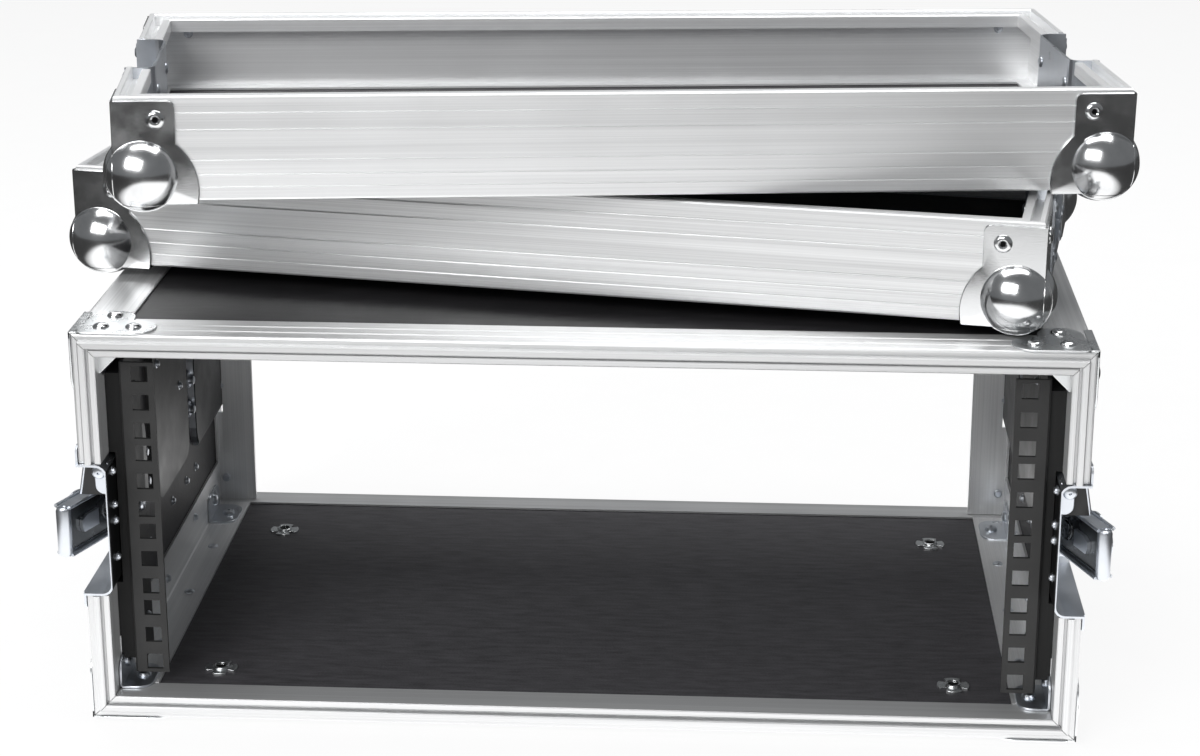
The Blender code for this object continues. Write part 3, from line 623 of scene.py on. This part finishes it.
def open_ball(name, matrix, place):
    """The ball as a new mesh, with the lid's own corner cut out of it."""
    ball = bmesh.new()
    around, high = BALL_SIDES
    at = Matrix.Translation(place(*BALL_CENTRE)) @ matrix.to_3x3().to_4x4()
    bmesh.ops.create_uvsphere(ball, u_segments=around, v_segments=high,
                              radius=BALL_RADIUS, matrix=at)
    whole = new_object(name, ball)
    block = bmesh.new()
    reach = CUTTER_REACH
    slab(block, ((0, 0), (reach, 0), (reach, reach), (0, reach)), 0, reach, place)
    bmesh.ops.recalc_face_normals(block, faces=block.faces)
    cutter = new_object("cutter", block)
    cut = whole.modifiers.new("cut", "BOOLEAN")
    cut.operation = "DIFFERENCE"
    cut.solver = "EXACT"
    cut.object = cutter
    bpy.context.view_layer.update()
    result = whole.evaluated_get(bpy.context.evaluated_depsgraph_get())
    mesh = bmesh.new()
    mesh.from_mesh(result.to_mesh())
    mesh.transform(whole.matrix_world)
    bpy.data.objects.remove(whole)
    bpy.data.objects.remove(cutter)
    return mesh


def ball_corner(lid, end_name, side_name):
    """A pressed corner in finer form than the frame's: ball, flares, three plates and rivets."""
    corner_x, corner_y = SIDES[side_name], ENDS[end_name]
    matrix = LID_FRAME[lid]

    def place(a, b, w):
        return matrix @ Vector((corner_x * (LID_HALF[0] - a), corner_y * (LID_HALF[1] - b), w))

    def toward(a, b, w):
        return (place(a, b, w) - place(0, 0, 0)).normalized()
    name = f"{lid}_ball_{end_name}_{side_name}"
    mesh = open_ball(f"{name}_round", matrix, place)
    in_x, in_y, in_z = BALL_CENTRE
    # For each plate: the way into the lid, its outline, the ball's centre in it, how it is placed
    plates = (((1, 0, 0), side_plate_outline(), (in_y, in_z), lambda a, b, w: place(w, a, b)),
              ((0, 1, 0), side_plate_outline(), (in_x, in_z), lambda a, b, w: place(a, w, b)),
              ((0, 0, 1), bottom_plate_outline(), (in_x, in_y), place))
    for inward, *_ in plates:
        base = [-PLATE_OUT if i else c for c, i in zip(BALL_CENTRE, inward)]
        inset = sum(c * i for c, i in zip(BALL_CENTRE, inward))
        lathe(mesh, fillet_profile(inset), facing(-toward(*inward), place(*base)), BALL_SIDES[0],
              unit=1)
    for _, outline, centre, place_plate in plates:
        pressed_plate(mesh, outline, centre, place_plate)
    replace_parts(piece(name + "_fine", mesh, "chrome", lid), name)
    spots = [(place(-PLATE_OUT, BALL_RIVET_IN, BALL_RIVET_UP), -toward(1, 0, 0)),
             (place(BALL_RIVET_IN, -PLATE_OUT, BALL_RIVET_UP), -toward(0, 1, 0)),
             (place(*BALL_RIVET_BELOW, -PLATE_OUT), -toward(0, 0, 1))]
    fasteners(name + "_rivets", spots, TUBULAR, "chrome", lid, FINE_SIDES)
    bores = [(at + direction * BORE_LIFT, direction) for at, direction in spots]
    fasteners(name + "_bores", bores, TUBE_BORE, "shadow", lid, BORE_SIDES)


# Fastenings of a lid's catch: how far out from the lid's middle, then (along, up) in mm
CATCH_FACE = 265.6 * MM
CATCH_RIVETS = ((-41.5, 46), (41.5, 46), (-41.5, 22), (41.5, 22), (-22, 12.4), (22, 12.4))
CATCH_BACK = 248.5 * MM
CATCH_RIVET_ENDS = ((-27, 40), (27, 40))
CATCH_RECESS = 249.9 * MM
CATCH_SCREWS = ((-19, 26), (19, 26))


def catch_details(lid, side_name):
    """Rivets, screws and rivet ends where the catch sits in the lid's short side."""
    side = SIDES[side_name]
    matrix = LID_FRAME[lid]
    outward = (matrix.to_3x3() @ Vector((side, 0, 0))).normalized()
    name = f"{lid}_catch_{side_name}"

    def spots(out, places, way):
        return [(matrix @ Vector((side * out, along, up)), way) for along, up in in_mm(places)]
    rivets = spots(CATCH_FACE, CATCH_RIVETS, outward)
    fasteners(f"{name}_rivets", rivets, SMALL_RIVET, "zinc", lid)
    ends = spots(CATCH_BACK, CATCH_RIVET_ENDS, -outward)
    fasteners(f"{name}_rivet_ends", ends, SMALL_RIVET, "zinc", lid)
    screws = spots(CATCH_RECESS, CATCH_SCREWS, outward)
    fasteners(f"{name}_screws", screws, PAN_SCREW, "zinc", lid)


def lid_rivet_ends(lid):
    """Closed rivet ends of the ball corners, seen on the walls' inner faces."""
    matrix = LID_FRAME[lid]
    turn = matrix.to_3x3()
    half_x, half_y = LID_HALF
    spots = []
    for x in SIDES.values():
        for y in ENDS.values():
            on_long = (x * (half_x - RIVET_END_IN), y * (half_y - LID_WALL), BALL_RIVET_UP)
            spots.append((matrix @ Vector(on_long), turn @ Vector((0, -y, 0))))
            on_short = (x * (half_x - LID_WALL), y * (half_y - RIVET_END_IN), BALL_RIVET_UP)
            spots.append((matrix @ Vector(on_short), turn @ Vector((-x, 0, 0))))
    fasteners(f"{lid}_rivet_ends", spots, RIVET_TAIL, "zinc", lid)


for lid_name in LIDS:
    for end in ENDS:
        for side in SIDES:
            ball_corner(lid_name, end, side)
    for side in SIDES:
        catch_details(lid_name, side)
    lid_rivet_ends(lid_name)


# ---------------------------------------------------------------- case corner braces
# In mm from the case's corner: (inward, depth) on the edging, (depth, height) on the side
BRACE_THICK = 1.0
BRACE_EDGE = 0.35 * MM
BRACE_ARMS = ([(2.5, 6.5)] + arc((6.5, 6.5), 4.5, 180, 270, 4)
              + arc((31.5, 13.5), 11.5, -90, 90, 12) + [(28.4, 25.0), (28.4, 25.4)]
              + arc((16.5, 29.0), 11.9, 0, 180, 12))
BRACE_EAR = [(3, -0.9), (38, -0.9)] + arc((28, 14), 10, 0, 90, 6) + arc((13, 24), 10, 90, 180, 6)
BRACE_FOLD = ((-BRACE_THICK, -BRACE_THICK), (3.4, -BRACE_THICK), (3.4, 0.1), (0.1, 0.1), (0.1, 3.0),
              (-BRACE_THICK, 3.0))
BRACE_FOLD_ENDS = (3 * MM, 38 * MM)
BRACE_RIVETS = ((14, 13), (17, 32), (31, 13))
BRACE_SIDE_RIVETS = ((13, 14), (28, 12))


def brace(end_name, side_name, level_name):
    """A riveted corner brace on the top or bottom edging, with a rounded ear down the side face."""
    side, end, level = SIDES[side_name], ENDS[end_name], LEVELS[level_name]
    height = CASE_TOP if level > 0 else CASE_BOTTOM
    thick = BRACE_THICK * MM

    def place(a, b, out):
        return Vector((side * (HALF_W - a), end * (HALF_D - b), height + level * out))

    def place_side(b, w, out):
        return Vector((side * (HALF_W + out), end * (HALF_D - b), height - level * w))

    def place_fold(a, w, b):
        return Vector((side * (HALF_W - a), end * (HALF_D - b), height - level * w))
    mesh = bmesh.new()
    slab(mesh, in_mm(BRACE_ARMS), -SINK, thick, place)
    slab(mesh, in_mm(BRACE_EAR), -SINK, thick, place_side)
    slab(mesh, in_mm(BRACE_FOLD), *BRACE_FOLD_ENDS, place_fold)
    name = f"brace_{level_name}_{end_name}_{side_name}"
    piece(name, mesh, "brace", "case", edge=BRACE_EDGE)
    spots = [(place(a, b, thick), UP * level) for a, b in in_mm(BRACE_RIVETS)]
    spots += [(place_side(b, w, thick), Vector((side, 0, 0))) for b, w in in_mm(BRACE_SIDE_RIVETS)]
    fasteners(name + "_rivets", spots, RIVET, "chrome", "case")


for level in LEVELS:
    for end in ENDS:
        for side in SIDES:
            brace(end, side, level)


# ---------------------------------------------------------------- fastenings inside the case
TEE_NUTS = tuple((x * MM, y * MM) for x in (-202, 202) for y in (-110, 90))
TEE_NUT_RADIUS, TEE_NUT_NOTCH = 8.8 * MM, 5.4 * MM
TEE_NUT_NOTCH_HALF = 11
TEE_NUT_SIDES = 48
TEE_NUT_THICK = 1.1 * MM
TEE_NUT_SINK = 0.2 * MM
TEE_NUT_EDGE = 0.2 * MM
TEE_NUT_BARREL = ((0, 0.9), (4.5, 0.9), (4.5, 2.0), (3.9, 2.4), (3.1, 2.3), (3.0, 1.2), (0, 1.2))
# A thin disc in the nut's bore, in the shadow finish: painted shadow.
TEE_NUT_BORE = ((0, -0.2), (2.9, -0.2), (2.9, 0.1), (0, 0.1))
TEE_NUT_BORE_UP = 1.25 * MM


def tee_nuts():
    """Four pronged nuts sunk in the floor panel."""
    mesh = bmesh.new()
    outline = []
    for k in range(TEE_NUT_SIDES):
        degrees = 360 / TEE_NUT_SIDES * k
        radius = TEE_NUT_NOTCH if abs(degrees % 90 - 45) < TEE_NUT_NOTCH_HALF else TEE_NUT_RADIUS
        angle = math.radians(degrees)
        outline.append((radius * math.cos(angle), radius * math.sin(angle)))
    for x, y in TEE_NUTS:
        slab(mesh, outline, -TEE_NUT_SINK, TEE_NUT_THICK,
             lambda a, b, out: Vector((x + a, y + b, FLOOR_TOP + out)))
        lathe(mesh, TEE_NUT_BARREL, facing(UP, (x, y, FLOOR_TOP)))
    piece("floor_tee_nuts", mesh, "brace", "case", edge=TEE_NUT_EDGE)
    bores = [((x, y, FLOOR_TOP + TEE_NUT_BORE_UP), UP) for x, y in TEE_NUTS]
    fasteners("floor_tee_nut_bores", bores, TEE_NUT_BORE, "shadow", "case", BORE_SIDES)


BRACKET_AT = {"front": 126 * MM, "rear": 110 * MM}
BRACKET_HALF = 15 * MM
BRACKET_REACH = 17 * MM
BRACKET_ROUND = 8 * MM
BRACKET_THICK = 1.3 * MM
BRACKET_EDGE = 0.25 * MM
BRACKET_SCREW_UP, BRACKET_SCREW_IN = 10.5 * MM, 10 * MM
FLOOR_ANGLE_TOP = FLOOR_TOP + 1.6 * MM
FLOOR_ANGLE_THICK = 1.5 * MM


def inner_bracket(end_name, side_name, level_name):
    """A small zinc angle in each inner corner, screwed to the wall and to the floor or roof."""
    side, end, level = SIDES[side_name], ENDS[end_name], LEVELS[level_name]
    depth = BRACKET_AT[end_name]
    floor = FLOOR_ANGLE_TOP if level < 0 else ROOF
    wall = (FLANGE_HIGH.x if level > 0 else FLANGE_HIGH.x - FLOOR_ANGLE_THICK) - SINK
    turn = -level

    def place_wall(y, z, out):
        return Vector((side * (wall - out), end * y, floor + turn * z))

    def place_floor(x, y, out):
        return Vector((side * (wall - x), end * y, floor + turn * out))
    first, last = depth - BRACKET_HALF, depth + BRACKET_HALF
    reach, tip = BRACKET_REACH, BRACKET_ROUND
    mesh = bmesh.new()
    upright = [(first, 0), (last, 0)] + arc((last - tip, reach - tip), tip, 0, 90, 6)
    upright += arc((first + tip, reach - tip), tip, 90, 180, 6)
    slab(mesh, upright, 0, BRACKET_THICK, place_wall)
    flat = [(0, first), (0, last)] + arc((reach - tip, last - tip), tip, 90, 0, 6)
    flat += arc((reach - tip, first + tip), tip, 0, -90, 6)
    slab(mesh, flat, 0, BRACKET_THICK, place_floor)
    name = f"inner_bracket_{level_name}_{end_name}_{side_name}"
    piece(name, mesh, "zinc", "case", edge=BRACKET_EDGE)
    spots = [(place_wall(depth, BRACKET_SCREW_UP, BRACKET_THICK), Vector((-side, 0, 0))),
             (place_floor(BRACKET_SCREW_IN, depth, BRACKET_THICK), UP * turn)]
    fasteners(name + "_screws", spots, PAN_SCREW, "zinc", "case")


# Places on a side wall, (depth, height) in mm
DISH_TAILS = tuple((y, z) for y in (-140, 140) for z in (137, 118, 109, 88))
WALL_TAILS = (((10, 60), (48, 58), (-48, 58), (0, 193), (-44, 193), (44, 193))
              + tuple((y, z) for y in (-74, 74) for z in (57, 158)))
PAN_TAILS = ((22, 128.5), (-31, 160), (31, 160))
ANGLE_TAILS = ((58, 30), (-20, 23))
WALL_BOLTS = ((-60, 100), (60, 100), (62, 118), (-62, 118))
# Bolts that hold the rear posts' flanges, and rivets in the floor angles' ledges
POST_BOLTS = (247.5, 140.9, (25.5, 190))
LEDGE_RIVETS = (241, (-11, 58, -80))
ANGLE_FACE_IN = 1.6 * MM
LEDGE_UP = 1.5 * MM


def wall_fastenings(side_name):
    """Rivet tails and bolt ends that come through the side wall, its dishes and its floor angle."""
    side = SIDES[side_name]

    def spots(inner, places):
        return [(Vector((side * inner, y * MM, z * MM)), Vector((-side, 0, 0))) for y, z in places]
    tails = spots(DISH_REAR, DISH_TAILS) + spots(WALL_IN, WALL_TAILS) + spots(PAN_REAR, PAN_TAILS)
    tails += spots(FLANGE_HIGH.x - ANGLE_FACE_IN, ANGLE_TAILS)
    fasteners(f"wall_rivet_tails_{side_name}", tails, RIVET_TAIL, "zinc", "case")
    post_x, post_y, heights = POST_BOLTS
    bolts = spots(WALL_IN, WALL_BOLTS)
    bolts += [(Vector((side * post_x, post_y, z)) * MM, Vector((0, -1, 0))) for z in heights]
    fasteners(f"wall_bolt_ends_{side_name}", bolts, BOLT_END, "zinc", "case")
    ledge_x, depths = LEDGE_RIVETS
    ledge = [(Vector((side * ledge_x * MM, y * MM, FLANGE_LOW.z + LEDGE_UP)), UP) for y in depths]
    fasteners(f"floor_angle_rivets_{side_name}", ledge, SMALL_RIVET, "zinc", "case")


GUSSET_OUTLINE = ((0, 0), (0, 13), (2, 13), (11, 4), (11, 0))
GUSSET_AT = -143.2 * MM
GUSSET_THICK = 1.3 * MM
GUSSET_EDGE = 0.25 * MM


def gusset(side_name):
    """Three-cornered plate in the upper front inner corner."""
    side = SIDES[side_name]
    mesh = bmesh.new()
    slab(mesh, in_mm(GUSSET_OUTLINE), 0, GUSSET_THICK,
         lambda a, b, out: Vector((side * (WALL_IN - a), GUSSET_AT + out, ROOF - b)))
    piece(f"upper_gusset_{side_name}", mesh, "brace", "case", edge=GUSSET_EDGE)


RAIL_BOLT_FACE = RACK_RAIL_IN - 2.1 * MM
RAIL_BOLT_AT = -112 * MM
RAIL_BOLT_HEIGHTS = (40, 107, 174)


def rail_bolts(side_name):
    """Pan-headed bolts that hold the rack rail to its batten."""
    side = SIDES[side_name]
    spots = [(Vector((side * RAIL_BOLT_FACE, RAIL_BOLT_AT, z * MM)), Vector((-side, 0, 0)))
             for z in RAIL_BOLT_HEIGHTS]
    fasteners(f"rail_bolts_{side_name}", spots, PAN_SCREW, "zinc", "case")


tee_nuts()
for side in SIDES:
    for level in LEVELS:
        for end in ENDS:
            inner_bracket(end, side, level)
    wall_fastenings(side)
    gusset(side)
    rail_bolts(side)


# ---------------------------------------------------------------- handles
HANDLE_RIVETS = tuple((y, z) for y in (-45, 0, 45) for z in (-56, 56))
HANDLE_PIN = ((0, -8), (1.6, -8), (1.6, 0), (3.0, 0), (3.0, 0.9), (2.2, 1.5), (0, 1.6))
HANDLE_PIN_SIDES = 20
HANDLE_PIN_AT = 38.2 * MM
HANDLE_PIVOT_DOWN = 3.6 * MM
GRIP_UP = 5.2 * MM
GRIP_HALF = 26.5
GRIP_RIBS = 18
GRIP_RIB_FIRST, GRIP_RIB_PITCH = -26, 2.9
GRIP_RIB = ((6.2, 0.3), (6.2, 1.9), (5.75, 2.2), (5.75, 2.7))
GRIP_END_RADIUS = 5.6


def handle_details(side_name):
    """Pan rivets, pivot pins and a ribbed grip sleeve."""
    side = SIDES[side_name]
    rivets = [(Vector((side * PAN_FACE, y * MM, HANDLE_MID + z * MM)), Vector((side, 0, 0)))
              for y, z in HANDLE_RIVETS]
    fasteners(f"handle_rivets_{side_name}", rivets, RIVET, "zinc", "case")
    low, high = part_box(f"handle_bail_{side_name}")
    out = (low.x + high.x) / 2
    pivot = Vector((out, 0, high.z - HANDLE_PIVOT_DOWN))
    pins = [(pivot + Vector((0, way * HANDLE_PIN_AT, 0)), (0, way, 0)) for way in (-1, 1)]
    fasteners(f"handle_pins_{side_name}", pins, HANDLE_PIN, "zinc", "case", HANDLE_PIN_SIDES)
    profile = [(0, -GRIP_HALF), (GRIP_END_RADIUS, -GRIP_HALF)]
    for k in range(GRIP_RIBS):
        start = GRIP_RIB_FIRST + k * GRIP_RIB_PITCH
        profile += [(radius, start + along) for radius, along in GRIP_RIB]
    profile += [(GRIP_END_RADIUS, GRIP_HALF), (0, GRIP_HALF)]
    sleeve = [(Vector((out, 0, low.z + GRIP_UP)), (0, 1, 0))]
    body = f"handle_{side_name}"
    fasteners(f"handle_grip_{side_name}", sleeve, profile, "grip", body, FINE_SIDES)


# ---------------------------------------------------------------- latches
# In mm: out from the case's middle plane, along from the front or rear face, up from mid latch
DISH_RIVETS = ((16, 41.6), (74, 41.6), (16, -41.6), (74, -41.6), (93.6, 16), (93.6, -16))
DISH_SCREWS = ((62, 22), (62, -22), (28, 26), (28, -26))
DISH_SCREW_OUT = 1.2 * MM
ARM_SWING = math.radians(21.5)
ARM_AXIS = (254.2, 46)
ARM_TIP = -3
ARM_FACE = 253.2
ARM_PIN = ((0, -19.4), (2.6, -19.4), (2.6, -18.2), (1.4, -18.2), (1.4, 18.2), (2.6, 18.2),
           (2.6, 19.2), (1.8, 19.8), (0, 19.8))
ARM_PIN_SIDES = 20
LATCH_EDGE = 0.3 * MM
TAB = [(249.7, 35.5), (257.5, 35.5)] + arc((252.5, 22.5), 4.6, 0, -90, 6) + [(249.7, 17.9)]
TAB_ALONG = (9, 10.4)
TAB_SCREW = (254.6, 9, 30.5)
STOP = ((249.7, 35.5), (263, 35.5), (266.5, 15.5), (249.7, 15.5))
STOP_ALONG = (14, 15.5)
STOP_EDGE = ((263.2, 14.7, 35), (266.6, 14.7, 15.8))
STOP_EDGE_RADIUS = 0.9 * MM
ROLL = ((0, -14.4), (2.0, -14.2), (3.4, -13.2), (3.9, -11.8), (3.9, 11.8), (3.4, 13.2), (2.4, 13.9),
        (2.2, 12.6), (0, 12.6))
ROLL_AT = (254.4, ARM_TIP - 0.8, 0)
BEADS = tuple((out, up) for up in (-13.4, 13.4) for out in (251.0, 259.8))
BEAD_ALONG = (ARM_TIP, 20, 40)
BEAD_RADIUS = 1.0 * MM
# A thin dark sheet laid on the arm's inner face: painted dark reflection.
STRIP = rounded((ARM_TIP + 3.4, -11.6), (39.5, 11.6), 2.5)
STRIP_OUT = (ARM_FACE - 0.25, ARM_FACE + 0.1)
STRIP_EDGE = 0.08 * MM
BOSS = ((0, -0.2), (6.0, -0.2), (6.0, 0.5), (5.6, 0.8), (5.2, 0.4), (4.8, 0.5), (4.6, 1.5),
        (0, 1.6))
BOSS_AT = (ARM_FACE - 0.2, ARM_AXIS[1] - 12.5, 0)


def latch_details(end_name, side_name):
    """Everything added to one latch: on its dish, and on the arm that swings out of it."""
    name = f"latch_{end_name}_{side_name}"
    side, end = SIDES[side_name], ENDS[end_name]
    outward = Vector((side, 0, 0))
    mid = sum(corner.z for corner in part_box(f"{name}_dish")) / 2

    def place(out, along, up):
        return Vector((side * out, end * (HALF_D - along * MM), mid + up * MM))
    rivets = [(place(DISH_FACE, *spot), outward) for spot in DISH_RIVETS]
    fasteners(f"{name}_dish_rivets", rivets, SMALL_RIVET, "zinc", "case")
    screws = [(place(DISH_REAR + DISH_SCREW_OUT, *spot), outward) for spot in DISH_SCREWS]
    fasteners(f"{name}_dish_screws", screws, PAN_SCREW, "zinc", "case")
    pivot = place(ARM_AXIS[0] * MM, ARM_AXIS[1], 0)
    fasteners(f"{name}_pin", [(pivot, UP)], ARM_PIN, "zinc", "case", ARM_PIN_SIDES)
    latch_bracket(name, lambda out, along, up: place(out * MM, along, up), end)
    swing = Matrix.Translation(pivot) @ Matrix.Rotation(-side * end * ARM_SWING, 4, "Z")
    swing = swing @ Matrix.Translation(-pivot)
    latch_arm_details(name, side, lambda out, along, up: swing @ place(out * MM, along, up), swing)


def latch_bracket(name, place, end):
    """A tab and a dark stop plate that stand out from the dish above the arm."""
    def place_plate(out, up, along):
        return place(out, along, up)
    tab = bmesh.new()
    slab(tab, TAB, *TAB_ALONG, place_plate)
    piece(f"{name}_tab", tab, "zinc", "case", edge=LATCH_EDGE)
    screw = [(place(*TAB_SCREW), Vector((0, end, 0)))]
    fasteners(f"{name}_tab_screw", screw, PAN_SCREW, "zinc", "case")
    stop = bmesh.new()
    slab(stop, STOP, *STOP_ALONG, place_plate)
    piece(f"{name}_stop", stop, "handle", "case", edge=LATCH_EDGE)
    lip = bmesh.new()
    tube(lip, [place(*point) for point in STOP_EDGE], STOP_EDGE_RADIUS)
    piece(f"{name}_stop_edge", lip, "zinc", "case")


def latch_arm_details(name, side, place, swing):
    """Rolled lip, rounded flange edges, and on the inner face a dark sheet and a pressed boss, both
    darkened as painted dark reflection, of the swinging arm.
    """
    body = f"{name}_arm"
    inward = (swing.to_3x3() @ Vector((-side, 0, 0))).normalized()
    fasteners(f"{name}_roll", [(place(*ROLL_AT), UP)], ROLL, "zinc", body)
    beads = bmesh.new()
    for out, up in BEADS:
        tube(beads, [place(out, along, up) for along in BEAD_ALONG], BEAD_RADIUS)
    piece(f"{name}_beads", beads, "zinc", body)
    # The dark sheet and the boss on the inner face are painted dark reflection.
    painted_dark_sheet = bmesh.new()
    slab(painted_dark_sheet, STRIP, *STRIP_OUT, lambda along, up, out: place(out, along, up))
    piece(f"{name}_strip", painted_dark_sheet, "latch_painted_dark", body, edge=STRIP_EDGE)
    fasteners(f"{name}_boss", [(place(*BOSS_AT), inward)], BOSS, "latch_painted_dark", body, FINE_SIDES)


for side in SIDES:
    handle_details(side)
    for end in ENDS:
        latch_details(end, side)


# ---------------------------------------------------------------- stage
FLOOR_HALF = 6.0
FLOOR_GAP = 0.2 * MM
FLOOR_WHITE = 0.86
POOL_HALF = (0.50, 0.68)
POOL_FORWARD = 0.42
POOL_ENDS = (0.9, 1.5)
POOL_GLOW = (1.6, 0.06)
ROOM_COLOUR = (0.94, 0.97, 1.0, 1)
ROOM_STRENGTH = 0.2

# Name, place, target, size, watts, whether it shows in reflections
LIGHTS = (
    ("top", (0.0, 0.35, 2.0), (0, 0, 0.2), (2.2, 1.6), 46, True),
    ("front", (-0.9, -1.9, 1.6), (0, 0, 0.2), (1.9, 1.1), 48, True),
    ("right", (2.0, -0.5, 0.9), (0, 0, 0.15), (0.9, 1.4), 10, False),
    ("left", (-2.0, -0.3, 0.9), (0, 0, 0.15), (0.9, 1.4), 9, False),
)


def make_floor():
    """White to the camera; to every other ray a bright pool round the object that falls off."""
    mesh = bmesh.new()
    bmesh.ops.create_grid(mesh, x_segments=1, y_segments=1, size=FLOOR_HALF)
    floor = new_object("floor", mesh)
    floor.location.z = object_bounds()[0][2] - FLOOR_GAP
    shader = Shader("floor_white")
    shader.colour(shader.noise((30, 30, 30), detail=3.0), low=0.80, high=0.84)
    shader.set(Roughness=0.8)
    white = shader.node("ShaderNodeEmission")
    white.inputs["Strength"].default_value = 1.0
    seen = shader.node("ShaderNodeMixShader")
    seen.inputs[0].default_value = FLOOR_WHITE
    shader.link(shader.bsdf.outputs[0], seen.inputs[1])
    shader.link(white.outputs[0], seen.inputs[2])
    at = shader.position()
    across = shader.math("DIVIDE", at["X"], POOL_HALF[0])
    depth = shader.math("DIVIDE", shader.math("ADD", at["Y"], POOL_FORWARD), POOL_HALF[1])
    squared = shader.math("ADD", shader.math("MULTIPLY", across, across),
                          shader.math("MULTIPLY", depth, depth))
    pool = shader.node("ShaderNodeEmission")
    shader.link(shader.span(squared, POOL_ENDS, POOL_GLOW), pool.inputs["Strength"])
    rays = shader.node("ShaderNodeLightPath")
    choose = shader.node("ShaderNodeMixShader")
    shader.link(rays.outputs["Is Camera Ray"], choose.inputs[0])
    shader.link(pool.outputs[0], choose.inputs[1])
    shader.link(seen.outputs[0], choose.inputs[2])
    shader.link(choose.outputs[0], shader.tree.nodes["Material Output"].inputs["Surface"])
    floor.data.materials.append(shader.mat)


def make_light(name, place, target, size, power, glossy):
    data = bpy.data.lights.new(name, "AREA")
    data.shape = "RECTANGLE"
    data.size, data.size_y = size
    data.energy = power
    light = bpy.data.objects.new(name, data)
    bpy.context.scene.collection.objects.link(light)
    light.location = place
    aim = Vector(target) - Vector(place)
    light.rotation_euler = aim.to_track_quat("-Z", "Y").to_euler()
    light.visible_glossy = glossy


def make_world():
    """A dim cool room, with a white backdrop that only the camera sees."""
    world = bpy.data.worlds.new("studio")
    bpy.context.scene.world = world
    world.use_nodes = True
    tree = world.node_tree
    room = tree.nodes["Background"]
    room.inputs["Color"].default_value = ROOM_COLOUR
    room.inputs["Strength"].default_value = ROOM_STRENGTH
    backdrop = tree.nodes.new("ShaderNodeBackground")
    backdrop.inputs["Color"].default_value = (1, 1, 1, 1)
    rays = tree.nodes.new("ShaderNodeLightPath")
    choose = tree.nodes.new("ShaderNodeMixShader")
    tree.links.new(rays.outputs["Is Camera Ray"], choose.inputs[0])
    tree.links.new(room.outputs[0], choose.inputs[1])
    tree.links.new(backdrop.outputs[0], choose.inputs[2])
    tree.links.new(choose.outputs[0], tree.nodes["World Output"].inputs["Surface"])


def make_camera():
    data = bpy.data.cameras.new("camera")
    data.lens = CAMERA_LENS
    data.sensor_width = CAMERA_SENSOR
    data.shift_x, data.shift_y = CAMERA_SHIFT
    camera = bpy.data.objects.new("camera", data)
    bpy.context.scene.collection.objects.link(camera)
    aim = Matrix.Rotation(CAMERA_YAW, 4, "Z") @ Matrix.Rotation(math.pi / 2 - CAMERA_PITCH, 4, "X")
    camera.matrix_world = Matrix.Translation(CAMERA_AT) @ aim @ Matrix.Rotation(CAMERA_ROLL, 4, "Z")
    bpy.context.scene.camera = camera


bpy.context.scene.view_settings.view_transform = "Standard"
make_floor()
make_world()
for light_values in LIGHTS:
    make_light(*light_values)
make_camera()
